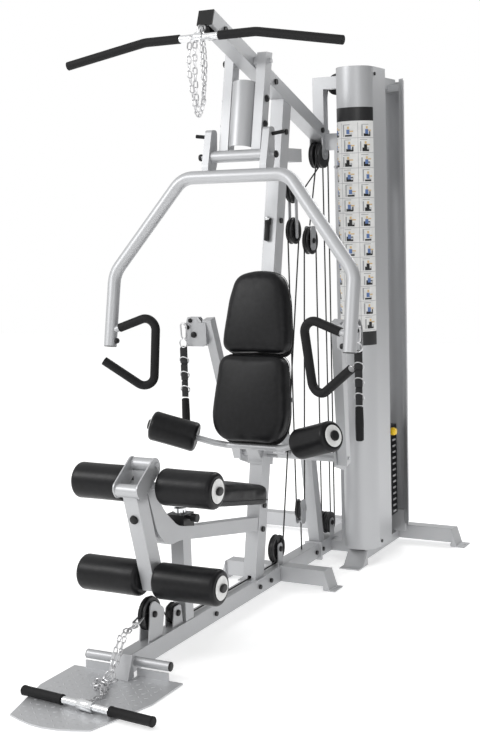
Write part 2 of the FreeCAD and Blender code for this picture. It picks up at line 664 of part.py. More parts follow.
HANDLE_BEND = 42
GRIP_START = 0.15
loops = []
grips = []
for side in (-1, 1):
    points = handle(side)
    loops.append(swept(f"loop_{side + 1}", "handle_radius", points, HANDLE_BEND))
    grip_foot = Vector(*points[0]) * (1 - GRIP_START) + Vector(*points[1]) * GRIP_START
    grip_points = [tuple(grip_foot), *points[1:]]
    bore = "handle_radius + running"
    grips.append(piped(f"grip_{side + 1}", "grip_radius", bore, grip_points, HANDLE_BEND))
pivot_bolt = rod("pivot_bolt", "8", (-158, *yoke_foot), (158, *yoke_foot))
node("press_arm", joined("press_arm", arm_tube, bracket(-1), bracket(1), pivot_bolt, *loops))
levers = []
for side in (-1, 1):
    levers.append(rod(f"lever_{side + 1}", "7", (side * 138.2, 153, 1800), (side * 186, 150, 1806)))
node("press_grips", grouped("press_grips", *grips, *levers))

# ---- lat bar
lat_tip = (size["lat_end"], size["lat_y"] - 15, size["lat_z"] - size["lat_drop"])
lat_half = [lat_tip, (size["lat_bend"], size["lat_y"], size["lat_z"])]
lat_points = [(-x, y, z) for x, y, z in lat_half] + list(reversed(lat_half))
lat_eye = rod("lat_eye", "9", (0, size["lat_y"], size["lat_z"] + 12), (0, size["lat_y"], size["lat_z"] + 26))
node("lat_bar", joined("lat_bar", swept("lat_rod", "bar_radius", lat_points, 120), lat_eye))
lat_sleeves = []
for side in (-1, 1):
    end = Vector(side * size["lat_end"], lat_half[0][1], lat_half[0][2])
    bend_at = Vector(side * size["lat_bend"], lat_half[1][1], lat_half[1][2])
    run = (end - bend_at).normalize()
    start = (side * size["lat_grip_in"], lat_half[1][1], lat_half[1][2])
    line = [start, tuple(bend_at), tuple(end)]
    cap = rod(f"lat_cap_{side + 1}", "16", tuple(end), tuple(end + run * 4))
    tube = piped(f"lat_ring_{side + 1}", "16", "bar_radius", line, 120)
    lat_sleeves.append(joined(f"lat_sleeve_{side + 1}", tube, cap))
node("lat_grips", grouped("lat_grips", *lat_sleeves))
chain_y = size["lat_y"] - 20.5
loop_left = [(-26, chain_y, 2140), (-33, chain_y, 2010), (-22, chain_y, 1868)]
chain_loop = loop_left + [(22, chain_y, 1862), (33, chain_y, 2010), (26, chain_y, 2140)]
lat_hook = swept("lat_hook", "4", [(0, -92, 2140), (0, -98, 2160), (0, -114, 2168), (0, -125, 2164)], 8)
node("lat_chain", grouped("lat_chain", swept("chain_loop", "7", chain_loop, 20), lat_hook))

# ---- low bar, its chain and the leg developer
low_left = Vector(-200, -1052, 25)
low_right = Vector(316, -1104, 25)
low_run = (low_right - low_left).normalize()
low_rod = rod("low_rod", "bar_radius", tuple(low_left), tuple(low_right))
low_sleeves = []
for number, (tip, inward) in enumerate(((low_left, low_run), (low_right, low_run * -1))):
    reach = (tuple(tip - inward * 3), tuple(tip + inward * 165))
    low_sleeves.append(ring(f"low_sleeve_{number}", "grip_radius", "bar_radius", *reach))
node("low_bar", grouped("low_bar", low_rod, *low_sleeves))
low_middle = (low_left + low_right) * 0.5
swivel_ends = (tuple(low_middle - low_run * 30), tuple(low_middle + low_run * 30))
swivel = ring("low_swivel", "18.5", "bar_radius + running", *swivel_ends)
chain_run = [(0, -676, 160), (4, -770, 134), (12, -838, 66), (-26, -878, 16), (30, -930, 16)]
chain_run += [(50, -990, 18), (low_middle.x, low_middle.y + 19, 24)]
node("low_chain", grouped("low_chain", swivel, swept("chain_run", "7", chain_run, [40, 36, 30, 26, 26])))


def leg_arm():
    """The leg developer: link plates, lower hub, arm tube and the lower roller tube."""
    front = [(-702, 600), (-604, 245)]
    back = [(-637.6, 600), (-539.6, 245)]
    tube = leaning_tube("leg_tube", front, back, "-27", "27")
    leg_axis = (size["leg_y"], size["leg_z"])
    lower_hub = rod("leg_hub", "hub_radius", (-43, *leg_axis), (43, *leg_axis))
    links = []
    for side, (low, high) in (("left", ("-48", "-43")), ("right", ("43", "48"))):
        outline = [(-600, 724), (-738, 628), (-704, 576), (-570, 668)]
        links.append(profile("link_" + side, "YZ", outline, low, high, 27))
    pin = rod("leg_pin", "10", (-54, *HUB_AXIS), (54, *HUB_AXIS))
    roller_axis = (size["low_foam_y"], size["low_foam_z"])
    tube_low = rod("leg_roller_tube", "tube_radius", (-278, *roller_axis), (278, *roller_axis))
    return joined("leg_arm", tube, lower_hub, *links, pin, tube_low)


node("leg_arm", leg_arm())


def rollers(name, y, z, inner):
    """A pair of foam rollers on one tube."""
    pair = []
    for side in (-1, 1):
        ends = (side * size_of(inner), y, z), (side * size["foam_out"], y, z)
        pair.append(ring(f"{name}_{side + 1}", "foam_radius", "tube_radius + running", *ends))
    return grouped(name, *pair)


node("lower_rollers", rollers("lower_rollers", size["low_foam_y"], size["low_foam_z"], "leg_foam_in"))
node("upper_rollers", rollers("upper_rollers", size["foam_y"], size["foam_z"], "foam_in"))

# ---- seat on its chrome post
seat_low = (0, size["seat_y"], 200)
seat_post = rod("post_bar", "seat_radius", seat_low, (0, size["seat_y"], 488))
seat_slope = -math.tan(math.radians(size["seat_tilt"]))


def seat_bottom(y):
    return 412 + seat_slope * (y - 48)


rail = [(y, seat_bottom(y) - drop) for y, drop in ((-398, 6), (-398, 0), (20, 0), (20, 6))]
seat_rail = profile("seat_rail", "YZ", rail, "-60", "60")
node("seat_post", joined("seat_post", seat_post, seat_rail))
thick = size["seat_thick"] / math.cos(math.radians(size["seat_tilt"]))
pad_side = [(-400, seat_bottom(-400)), (-412, seat_bottom(-400) + thick * 0.5)]
pad_side.append((-400, seat_bottom(-400) + thick))
pad_side += [(48, seat_bottom(48) + thick), (58, seat_bottom(48) + thick * 0.5), (48, seat_bottom(48))]
node("seat_cushion", profile("seat_cushion", "YZ", pad_side, "-seat_half", "seat_half"))
knob_stem = rod("knob_stem", "6", (36.6, size["seat_y"], 455), (50, size["seat_y"], 455))
knob_head = rod("knob_head", "15", (50, size["seat_y"], 455), (72, size["seat_y"], 455))
node("seat_knob", joined("seat_knob", knob_stem, knob_head))

# ---- back pads, in the upright's own frame
LOWER_HALF = [(108, 624), (150, 660), (170, 715), (165, 800), (147, 938), (122, 966)]
UPPER_HALF = [(124, 972), (148, 998), (147, 1050), (127, 1210), (98, 1270), (45, 1296)]


def back_pad(name, half, stand_off):
    """A flat pad parallel to the upright and in front of it, mirrored about the middle."""
    outline = half + [(-x, z) for x, z in reversed(half)]
    body = profile(name, "XZ", outline, f"-({stand_off} + pad_thick)", f"-{stand_off}")
    return tilted(body, (0, size["lean_foot"], 0), -size["lean"])


node("back_pad_lower", back_pad("back_pad_lower", LOWER_HALF, "low_pad_off"))
node("back_pad_upper", back_pad("back_pad_upper", UPPER_HALF, "high_pad_off"))

# ---- roller bar that slides on the upright
bar_y = 176
bar_z = 604
bar_half = [(398, 72, 688), (160, 158, 614), (110, bar_y, bar_z)]
bar_points = [(-x, y, z) for x, y, z in bar_half] + list(reversed(bar_half))
bar_rod = swept("bar_rod", "tube_radius", bar_points, 40)


def sleeve():
    """The clamp that runs on the upright, with its arm to the bar."""
    outer = [leaned(0, out, up)[1:] for out, up in ((-8, 540), (-8, 610), (78, 610), (78, 540))]
    body = profile("sleeve_skin", "YZ", outer, "-post_half - 7", "post_half + 7")
    inner = [leaned(0, out, up)[1:] for out, up in ((-0.5, 520), (-0.5, 630), (70.5, 630), (70.5, 520))]
    hollow = profile("sleeve_hollow", "YZ", inner, "-post_half - 0.5", "post_half + 0.5")
    neck = [leaned(0, out, up)[1:] for out, up in ((-7.5, 560), (-7.5, 608), (-50, 613), (-50, 600))]
    return cut("sleeve_tube", body, hollow), profile("sleeve_neck", "YZ", neck, "-25", "25")


cam = rod("cam_lever", "7", leaned(34.5, 30, 575), leaned(78, 30, 575))
sleeve_tube, sleeve_neck = sleeve()
node("roller_bar", joined("roller_bar", sleeve_tube, sleeve_neck, bar_rod, cam))
for side, word in ((-1, "left"), (1, "right")):
    outer_end, inner_end = [Vector(side * x, y, z) for x, y, z in bar_half[:2]]
    run = (inner_end - outer_end).normalize()
    reach = (tuple(outer_end + run * 4), tuple(outer_end + run * 194))
    node(f"bar_roller_{word}", ring(f"bar_roller_{word}", "59", "tube_radius + running", *reach))

# ---- swinging functional arms with pulley, strap and handle


def swing_arm(side):
    """One arm: a square tube up from its pivot, with the pulley housing at its head."""
    low = Vector(side * size["swing_x"], size["swing_y"], size["swing_z"])
    high = Vector(side * size["swing_top_x"], size["swing_top_y"], size["swing_top_z"])
    run = high - low
    half = size["swing_tube"] / 2
    tube = doc.addObject("Part::Box", f"swing_tube_{side + 1}")
    bind(tube, "Length", "swing_tube")
    bind(tube, "Width", "swing_tube")
    tube.Height = run.Length + 50
    start = low - run.normalize() * 25
    turn = Rotation(Vector(1, 0, 0), Vector(0, 0, 1), run, "ZXY")
    tube.Placement = Placement(start - turn.multVec(Vector(half, half, 0)), turn)
    plates = []
    corners = [(299, 971), (299, 1050), (330, 1091), (378, 1091), (388, 1060), (388, 971)]
    outline = [(side * x, z) for x, z in corners]
    for place, (near, far) in (("front", ("355", "358")), ("back", ("386", "389"))):
        plates.append(profile(f"housing_{place}_{side + 1}", "XZ", outline, near, far, 8))
    bridge_x = ("292", "312") if side > 0 else ("-312", "-292")
    bridge = block(f"bridge_{side + 1}", bridge_x, ("355", "389"), ("980", "1070"))
    roof_x = ("330", "378") if side > 0 else ("-378", "-330")
    cap = block(f"housing_cap_{side + 1}", roof_x, ("355", "389"), ("1086", "1091"))
    axle = rod(f"arm_axle_{side + 1}", "axle", (side * 349, 352, 1019), (side * 349, 392, 1019))
    bore = rod(f"swing_bore_{side + 1}", "8 + running", (side * 200, *swing_axis), (side * 290, *swing_axis))
    hook = rod(f"strap_hook_{side + 1}", "4", (side * 385, 372, 1062), (side * 385, 340, 1062))
    solid = joined(f"arm_solid_{side + 1}", tube, *plates, bridge, cap, axle, hook)
    return cut(f"swing_arm_{side + 1}", solid, bore)


def strap_handle(side):
    """The strap that hangs from the arm's head, its rings and its grip."""
    x = side * size["strap_x"]
    y = size["strap_y"] - 4
    parts = [ring(f"strap_eye_{side + 1}", "9", "4.6", (side * 385, y - 2, 1062), (side * 385, y + 2, 1062))]
    strap_x = (f"{x} - 17", f"{x} + 17")
    parts.append(block(f"strap_{side + 1}", strap_x, (f"{y} - 2", f"{y} + 2"), ("756", "1053.5")))
    parts.append(rod(f"strap_grip_{side + 1}", "17", (x, y, 621), (x, y, 756)))
    return joined(f"strap_handle_{side + 1}", *parts)


for side, word in ((-1, "left"), (1, "right")):
    node(f"arm_{word}", swing_arm(side))
    node(f"handle_{word}", strap_handle(side))
    node(f"arm_pulley_{word}", wheel(f"arm_pulley_{word}", (side * 349, 372, 1019), "Y", "34", "wheel_half"))

# ---- pulleys on the frame
HANGING_AXIS = (600, 255)
PULLEYS = {
    "front_pulley": ((0, -610, 168), "X", "wheel_radius"),
    "base_pulley": ((0, -455, 125), "X", "36"),
    "swivel_pulley": ((0, 363, 146), "X", "wheel_radius"),
    "floating_pulley": ((0, 760, 1385), "X", "wheel_radius"),
    "strap_pulley_lower": ((0, 600, 1430), "X", "wheel_radius - 4"),
    "strap_pulley_upper": ((0, 600, 1600), "X", "wheel_radius - 4"),
    "lat_pulley": ((0, *lat_wheel), "X", "40"),
    "gooseneck_pulley": ((45, 977, 2044), "Y", "44"),
    "tower_pulley": ((155, 977, 2044), "Y", "44"),
}
for name, (centre, axis, radius) in PULLEYS.items():
    node(name, wheel(name, centre, axis, radius))
boom_pair = []
for word, x in (("left", -16), ("right", 16)):
    boom_pair.append(wheel("boom_wheel_" + word, (x, 870, 1745), "X", "wheel_radius - 2", "9"))
node("boom_pulleys", grouped("boom_pulleys", *boom_pair))
guide_wheels = []
low_pair = (860, 140)
guides = [("hanging", 0, HANGING_AXIS, "38"), ("left", -14, low_pair, "46"), ("right", 14, low_pair, "46")]
for word, x, axis, radius in guides:
    guide_wheels.append(wheel("guide_" + word, (x, *axis), "X", radius, "10"))
node("guide_pulleys", grouped("guide_pulleys", *guide_wheels))


def cheeks(name, outline, near, far, centre, radii=10):
    """Two side plates of a pulley block and the axle between them."""
    plates = []
    for side in (-1, 1):
        low, high = (near, far) if side > 0 else (f"-({far})", f"-({near})")
        plates.append(profile(f"{name}_cheek_{side + 1}", "YZ", outline, low, high, radii))
    axle = rod(name + "_axle", "axle", (-size_of(far) - 4, *centre), (size_of(far) + 4, *centre))
    return joined(name, *plates, axle)


def upright_plate(centre, half_y, low, high):
    """A pulley block's plate outline: its four corners."""
    y, z = centre
    return [(y - half_y, z + low), (y + half_y, z + low), (y + half_y, z + high), (y - half_y, z + high)]


boom_hanger = [(842, 1725), (898, 1725), (898, boom_bottom(898)), (842, boom_bottom(842))]
front_side = [(-629, 231), (-543, 170), (-565, 80), (-651, 80)]
base_side = [(-478, 152), (-432, 152), (-422, 80), (-488, 80)]
swivel_side = [(343, 170), (383, 170), (383, 80), (343, 80)]
low_side = [(838, 160), (882, 160), (882, 80), (838, 80)]
blocks = [
    cheeks("front_block", front_side, "16", "20", (-610, 168), [24, 24, 0, 0]),
    cheeks("base_block", base_side, "14", "18", (-455, 125), [14, 14, 0, 0]),
    cheeks("swivel_block", swivel_side, "14", "18", (363, 146), [14, 14, 0, 0]),
    cheeks("float_block", upright_plate((760, 1385), 26, -40, 62), "13", "16", (760, 1385), 20),
    cheeks("boom_block", boom_hanger, "27", "30.9", (870, 1745), [24, 24, 0, 0]),
    cheeks("low_block", low_side, "26", "28", (860, 140), [16, 16, 0, 0]),
]
strap_plates = []
for side, (low, high) in (("left", ("-17", "-14")), ("right", ("14", "17"))):
    outline = [(588, 1400), (612, 1400), (612, 1632), (588, 1632)]
    strap_plates.append(profile("strap_plate_" + side, "YZ", outline, low, high, 10))
strap_axles = [rod(f"strap_axle_{z}", "axle", (-20, 600, z), (20, 600, z)) for z in (1430, 1600)]
blocks.append(joined("strap_block", *strap_plates, *strap_axles))
hanging_plate = upright_plate(HANGING_AXIS, 24, -60, 44)
hanging = cheeks("hanging_cheeks", hanging_plate, "11", "14", HANGING_AXIS, 18)
tie_pin = rod("tie_pin", "5", (-14, HANGING_AXIS[0], 206), (14, HANGING_AXIS[0], 206))
blocks.append(joined("hanging_block", hanging, tie_pin))
tab_out = 0.5 - size["low_pad_off"]
tab_corners = ((tab_out, 788), (tab_out, 806), (tab_out + 4.5, 806), (tab_out + 4.5, 788))
side_tab = [leaned(0, out, up)[1:] for out, up in tab_corners]
blocks.append(profile("side_tab", "YZ", side_tab, "20.2", "162"))
node("pulley_brackets", grouped("pulley_brackets", *blocks))

# ---- cables, each pulled tight over its pulleys


def leaving(a, b, over_a, over_b):
    """The line that runs tangent to circle a and then to circle b, in the YZ plane.

    A circle is (y, z, radius); over is 1 when the cable turns clockwise round it and -1
    when it turns the other way.
    """
    span = math.hypot(b[0] - a[0], b[1] - a[1])
    heading = math.atan2(b[1] - a[1], b[0] - a[0])
    heading -= math.asin((over_a * a[2] - over_b * b[2]) / span)
    left = (-math.sin(heading), math.cos(heading))
    return (a[0] + over_a * a[2] * left[0], a[1] + over_a * a[2] * left[1]), heading


def meeting(line_a, line_b):
    """Where two lines, each a point and a heading, cross."""
    (ya, za), a = line_a
    (yb, zb), b = line_b
    reach = ((yb - ya) * math.sin(b) - (zb - za) * math.cos(b)) / math.sin(b - a)
    return (ya + reach * math.cos(a), za + reach * math.sin(a))


def circle_of(name, radius):
    """The circle that a cable follows round a pulley."""
    centre = PULLEYS[name][0]
    return (centre[1], centre[2], size_of(radius) + 1)


BOOM_WHEEL = (870, 1745, size["wheel_radius"] - 1)
HANGING = (*HANGING_AXIS, 39)
LOW_WHEEL = (860, 140, 47)
front = circle_of("front_pulley", "wheel_radius")
base = circle_of("base_pulley", "36")
swivel_low = circle_of("swivel_pulley", "wheel_radius")
strap_low = circle_of("strap_pulley_lower", "wheel_radius - 4")
strap_high = circle_of("strap_pulley_upper", "wheel_radius - 4")
floating = circle_of("floating_pulley", "wheel_radius")
UP = math.pi / 2


def tangent_cable(name, circles, turns, first, last, start, end):
    """A cable in the YZ plane from a start, round its circles, to an end."""
    lines = [first]
    for a, b, over_a, over_b in zip(circles, circles[1:], turns, turns[1:]):
        lines.append(leaving(a, b, over_a, over_b))
    lines.append(last)
    points = [(0, *start)]
    bends = []
    for circle, line_in, line_out in zip(circles, lines, lines[1:]):
        turn = abs((line_out[1] - line_in[1] + math.pi) % (2 * math.pi) - math.pi)
        if turn < math.radians(150):
            points.append((0, *meeting(line_in, line_out)))
            bends.append(circle[2])
        else:
            points += half_turn(circle, line_in, line_out)
            bends += [circle[2], circle[2]]
    points.append((0, *end))
    return swept(name, "cable", points, bends)


def half_turn(circle, line_in, line_out):
    """Two corners for a cable that turns almost back on itself."""
    side = 1 if math.sin(line_in[1]) > 0 else -1
    level = ((circle[0], circle[1] + side * circle[2]), 0.0)
    return [(0, *meeting(line_in, level)), (0, *meeting(level, line_out))]


low_start = (front[0] - front[2], 160)
low_end = (LOW_WHEEL[0] + LOW_WHEEL[2], boom_bottom(LOW_WHEEL[0] + LOW_WHEEL[2]) - 2)
low_circles = [front, base, swivel_low, strap_low, HANGING, floating, LOW_WHEEL]
low_turns = [1, -1, -1, -1, -1, 1, -1]
high_start = (strap_high[0] - strap_high[2], 1699)
cables = [
    tangent_cable("low_cable", low_circles, low_turns, (low_start, UP), (low_end, UP), low_start, low_end),
    swept("float_lift", "cable", [(0, 760, 1449), (16, 814, 1745)], []),
    swept("boom_return", "cable", [(16, 926, 1745), (18, 909.5, 140)], []),
    swept("hanging_tie", "cable", [(0, HANGING_AXIS[0], 201), (0, HANGING_AXIS[0], 80.5)], []),
]
high_line = leaving(strap_high, BOOM_WHEEL, -1, -1)
rise_line = ((BOOM_WHEEL[0] + BOOM_WHEEL[2], 0), UP)
leave_y = high_line[0][0] + 12 * math.cos(high_line[1])
leave_z = high_line[0][1] + 12 * math.sin(high_line[1])
neck_points = [(0, *high_start), (0, *meeting((high_start, -UP), high_line))]
neck_points.append((0, leave_y, leave_z))
neck_points += [(-16, *meeting(high_line, rise_line)), (-16, 926, 1760), (0, 977, 2030)]
cables.append(swept("high_cable", "cable", neck_points, [strap_high[2], 60, BOOM_WHEEL[2] - 2, 40]))
top_points = [(0, 977, 2044), (0, 977, 2089), (200, 977, 2089), (200, 977, 2044)]
cables.append(swept("top_cable", "cable", top_points, 44.9))
node("cables", grouped("cables", *cables))
node("stack_cable", rod("stack_cable", "cable", (*stem_at, 640), (*stem_at, 2043.5)))

# ---- black caps on the bolts and plugs in the tube ends
caps = []


def cap(x, y, z, radius="11", length=7):
    """A domed bolt cap on a face square to X."""
    step = length if x > 0 else -length
    caps.append(rod(f"cap_{len(caps)}", radius, (x, y, z), (x + step, y, z)))


for z in (364, 272, 900, 1476, 1826):
    y = on_post(z, 35)[0]
    for x in (-size["post_half"], size["post_half"]):
        cap(x, y, z)
for y in (-203, 154, 250, 690, 757):
    for x in (-size["beam_half"], size["beam_half"]):
        cap(x, y, 46, "9")
for y, z in ((8, 2169), (408, 2015), (840, 1847)):
    for x in (-size["boom_half"], size["boom_half"]):
        cap(x, y, z)
for z in (90, 2060):
    for x, step in ((120, -4), (280, 4)):
        caps.append(rod(f"cap_{len(caps)}", "7", (x, 820, z), (x + step, 820, z)))
for side in (-1, 1):
    here = (size["foam_y"], size["foam_z"])
    caps.append(rod(f"cap_{len(caps)}", "10", (side * 278, *here), (side * 284, *here)))
plug = [boom_low[0], boom_high[0]]
plug += [(y - 6 * fall_along[0], z - 6 * fall_along[1]) for y, z in reversed(plug)]
caps.append(profile("boom_plug", "YZ", plug, "-boom_half", "boom_half"))
collar_side = [(-421, arm_top(-421)), (-349, arm_top(-349)), (-349, 468), (-421, 468)]
collar = profile("seat_collar_block", "YZ", [(y, z + 0.3) for y, z in collar_side], "-36", "36")
collar_bore = rod("collar_bore", "seat_radius + gap", (0, size["seat_y"], 400), (0, size["seat_y"], 480))
caps.append(cut("seat_collar", collar, collar_bore))
caps.append(block("stub_plug", beam_x, ("632", "636"), ("1710", "1763")))
node("bolt_caps", grouped("bolt_caps", *caps))

# ---- check every object, then write one file for each sub-part
doc.recompute()
for thing in doc.Objects:
    if "Invalid" in thing.State or "Error" in thing.State:
        raise RuntimeError(f"{thing.Name} failed: {thing.State}")
for name, thing in NODES:
    if thing.Shape.isNull() or not thing.Shape.isValid():
        raise RuntimeError(f"{name} has no valid shape")
if len(NODES) != len({name for name, thing in NODES}):
    raise RuntimeError("two sub-parts share a name")
for name, thing in NODES:
    thing.Shape.exportStep(f"parts/{name}.step")
print(len(NODES), "sub-parts")
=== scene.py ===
import json
import math

import bmesh
import bpy
from mathutils import Matrix, Vector


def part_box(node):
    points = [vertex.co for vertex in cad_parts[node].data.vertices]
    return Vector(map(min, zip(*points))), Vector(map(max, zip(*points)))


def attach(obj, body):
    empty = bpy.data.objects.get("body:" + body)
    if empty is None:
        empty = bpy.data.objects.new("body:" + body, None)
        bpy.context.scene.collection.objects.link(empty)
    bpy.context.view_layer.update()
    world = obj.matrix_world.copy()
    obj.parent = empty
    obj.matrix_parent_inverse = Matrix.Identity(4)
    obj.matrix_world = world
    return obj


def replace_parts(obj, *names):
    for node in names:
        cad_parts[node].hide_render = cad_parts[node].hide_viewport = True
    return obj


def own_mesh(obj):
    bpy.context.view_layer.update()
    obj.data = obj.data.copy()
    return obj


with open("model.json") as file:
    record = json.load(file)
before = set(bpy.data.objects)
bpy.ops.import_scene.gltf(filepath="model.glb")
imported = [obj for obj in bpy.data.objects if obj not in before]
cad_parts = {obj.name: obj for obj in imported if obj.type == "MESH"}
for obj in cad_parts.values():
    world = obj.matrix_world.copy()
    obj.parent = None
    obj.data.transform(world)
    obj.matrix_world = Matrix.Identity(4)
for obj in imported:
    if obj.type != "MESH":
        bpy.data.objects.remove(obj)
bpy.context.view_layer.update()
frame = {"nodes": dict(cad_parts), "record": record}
NODES = frame["nodes"]
SLOT_OF = {part["node"]: part["material_slot"] for part in frame["record"]["subparts"]}
BODY_OF = {}
for body_name, members in frame["record"]["behaviour"]["bodies"].items():
    for member in members:
        BODY_OF[member] = body_name


# ---------------------------------------------------------------- materials
class Shader:
    """One material's node tree, with the few steps that every finish here needs."""

    def __init__(self, name, color, metallic=0.0, roughness=0.5, **extra):
        self.material = bpy.data.materials.new(name)
        self.material.use_nodes = True
        self.tree = self.material.node_tree
        self.bsdf = self.tree.nodes["Principled BSDF"]
        self.bsdf.inputs["Base Color"].default_value = (*color, 1)
        self.bsdf.inputs["Metallic"].default_value = metallic
        self.bsdf.inputs["Roughness"].default_value = roughness
        self.color = color
        for socket, value in extra.items():
            self.bsdf.inputs[socket.replace("_", " ")].default_value = value
        self.place = self.add("ShaderNodeTexCoord").outputs["Object"]
        self.normal = None

    def add(self, kind, **fields):
        node = self.tree.nodes.new(kind)
        for field, value in fields.items():
            setattr(node, field, value)
        return node

    def link(self, source, target):
        self.tree.links.new(source, target)

    def noise(self, scale, detail=3.0, roughness=0.5):
        node = self.add("ShaderNodeTexNoise")
        node.inputs["Scale"].default_value = scale
        node.inputs["Detail"].default_value = detail
        node.inputs["Roughness"].default_value = roughness
        self.link(self.place, node.inputs["Vector"])
        return node.outputs["Fac"]

    def cells(self, scale, feature="F1"):
        node = self.add("ShaderNodeTexVoronoi", feature=feature)
        node.inputs["Scale"].default_value = scale
        self.link(self.place, node.inputs["Vector"])
        return node.outputs["Distance"]

    def spread(self, source, low, high):
        """Maps a pattern from 0..1 onto low..high."""
        node = self.add("ShaderNodeMapRange")
        node.inputs["To Min"].default_value = low
        node.inputs["To Max"].default_value = high
        self.link(source, node.inputs["Value"])
        return node.outputs["Result"]

    def tint(self, pattern, darker, lighter, start=0.3, end=0.7):
        """Varies the base colour between two tints of itself."""
        ramp = self.add("ShaderNodeValToRGB")
        ramp.color_ramp.elements[0].position = start
        ramp.color_ramp.elements[1].position = end
        ramp.color_ramp.elements[0].color = (*[c * darker for c in self.color], 1)
        ramp.color_ramp.elements[1].color = (*[min(1, c * lighter) for c in self.color], 1)
        self.link(pattern, ramp.inputs["Fac"])
        self.link(ramp.outputs["Color"], self.bsdf.inputs["Base Color"])

    def rough(self, pattern, low, high):
        self.link(self.spread(pattern, low, high), self.bsdf.inputs["Roughness"])

    def bump(self, pattern, strength, depth):
        node = self.add("ShaderNodeBump")
        node.inputs["Strength"].default_value = strength
        node.inputs["Distance"].default_value = depth
        self.link(pattern, node.inputs["Height"])
        if self.normal is not None:
            self.link(self.normal, node.inputs["Normal"])
        self.normal = node.outputs["Normal"]
        self.link(self.normal, self.bsdf.inputs["Normal"])


def silver_paint(name, shade=0.50):
    """Metallic silver powder coat: fine grain, a little mottle and soft gloss."""
    s = Shader(name, (shade, shade * 1.012, shade * 1.035), metallic=0.48, roughness=0.38)
    s.tint(s.noise(1400, 2), 0.93, 1.06)
    s.rough(s.noise(14, 4), 0.38, 0.46)
    s.bump(s.noise(520, 2), 0.05, 0.00006)
    s.bump(s.noise(35, 2), 0.03, 0.0008)
    return s.material


def black_vinyl(name="black_vinyl", gloss=0.36, grain=0.5):
    """Black upholstery vinyl with a leather grain."""
    s = Shader(name, (0.006, 0.006, 0.0068), roughness=gloss, Specular_IOR_Level=0.24)
    s.tint(s.noise(60, 3), 0.8, 1.35)
    s.rough(s.noise(40, 4), gloss - 0.06, gloss + 0.1)
    s.bump(s.cells(620, "F1"), grain * 0.6, 0.0005)
    s.bump(s.noise(120, 4, 0.6), 0.25, 0.0008)
    return s.material


def moulded(name, color, roughness, grain=0.2):
    """Moulded plastic with a fine spark-eroded grain."""
    s = Shader(name, color, roughness=roughness, Specular_IOR_Level=0.35)
    s.tint(s.noise(30, 3), 0.88, 1.15)
    s.rough(s.noise(80, 3), roughness - 0.07, roughness + 0.09)
    s.bump(s.noise(1100, 2), grain, 0.0003)
    return s.material


def foam_rubber(name="grip_foam"):
    """Closed-cell foam grip: dull black with open pores."""
    s = Shader(name, (0.006, 0.006, 0.0065), roughness=0.6, Specular_IOR_Level=0.25)
    s.tint(s.noise(300, 4), 0.7, 1.6)
    s.bump(s.cells(900, "F1"), 0.5, 0.0005)
    s.bump(s.noise(200, 3), 0.3, 0.0006)
    return s.material


def bright_metal(name, color, roughness, worn=0.05):
    """Chrome or zinc plate with faint polishing haze."""
    s = Shader(name, color, metallic=1.0, roughness=roughness)
    s.tint(s.noise(25, 4), 0.94, 1.03)
    s.rough(s.noise(60, 5, 0.65), roughness, roughness + 0.12)
    s.bump(s.noise(500, 3), worn, 0.0002)
    return s.material


def iron_paint(name="cast_weights"):
    """Black enamel over rough cast iron."""
    s = Shader(name, (0.009, 0.009, 0.01), roughness=0.42, metallic=0.1)
    s.tint(s.noise(90, 4), 0.7, 1.5)
    s.bump(s.noise(260, 5, 0.6), 0.5, 0.0008)
    return s.material


def woven(name="webbing"):
    """Black woven webbing: a tight over and under weave with a soft sheen."""
    s = Shader(name, (0.008, 0.008, 0.009), roughness=0.78, Sheen_Weight=0.15)
    wave = s.add("ShaderNodeTexWave", wave_type="BANDS", bands_direction="Z")
    wave.inputs["Scale"].default_value = 260
    wave.inputs["Distortion"].default_value = 0.4
    s.link(s.place, wave.inputs["Vector"])
    across = s.add("ShaderNodeTexWave", wave_type="BANDS", bands_direction="X")
    across.inputs["Scale"].default_value = 200
    s.link(s.place, across.inputs["Vector"])
    s.tint(wave.outputs["Fac"], 0.6, 1.9)
    s.bump(wave.outputs["Fac"], 0.6, 0.0006)
    s.bump(across.outputs["Fac"], 0.4, 0.0005)
    return s.material


def printed(name, color):
    """Ink or film on the instruction panel."""
    s = Shader(name, color, roughness=0.32)
    s.tint(s.noise(45, 3), 0.94, 1.04)
    s.rough(s.noise(30, 2), 0.26, 0.38)
    return s.material


MATERIALS = {
    "silver_paint": silver_paint("silver_paint"),
    "bracket_steel": silver_paint("bracket_steel", 0.46),
    "shroud_silver": silver_paint("shroud_silver", 0.52),
    "tread_plate": silver_paint("tread_plate", 0.56),
    "black_plastic": moulded("black_plastic", (0.008, 0.008, 0.0085), 0.38),
    "pulley_plastic": moulded("pulley_plastic", (0.010, 0.010, 0.011), 0.36),
    "black_vinyl": black_vinyl(),
    "foam_vinyl": black_vinyl("foam_vinyl", 0.33, 0.3),
    "chrome": bright_metal("chrome", (0.78, 0.79, 0.8), 0.07),
    "zinc_chain": bright_metal("zinc_chain", (0.66, 0.66, 0.67), 0.24, 0.12),
    "grip_foam": foam_rubber(),
    "cast_weights": iron_paint(),
    "cable_black": moulded("cable_black", (0.006, 0.006, 0.0065), 0.4, 0.1),
    "yellow_knob": moulded("yellow_knob", (0.85, 0.55, 0.02), 0.28, 0.08),
    "webbing": woven(),
}
WHITE_PLASTIC = moulded("white_plastic", (0.78, 0.78, 0.77), 0.34, 0.08)
GREY_PLASTIC = moulded("grey_plastic", (0.5, 0.5, 0.51), 0.4, 0.08)
STITCH = moulded("stitch_thread", (0.03, 0.03, 0.032), 0.6, 0.3)

# CAD nodes that keep their own shape: rounded edges and the material of their slot
SOFT_EDGES = {"silver_paint": 0.003, "bracket_steel": 0.0012, "shroud_silver": 0.0006, "tread_plate": 0.0008}


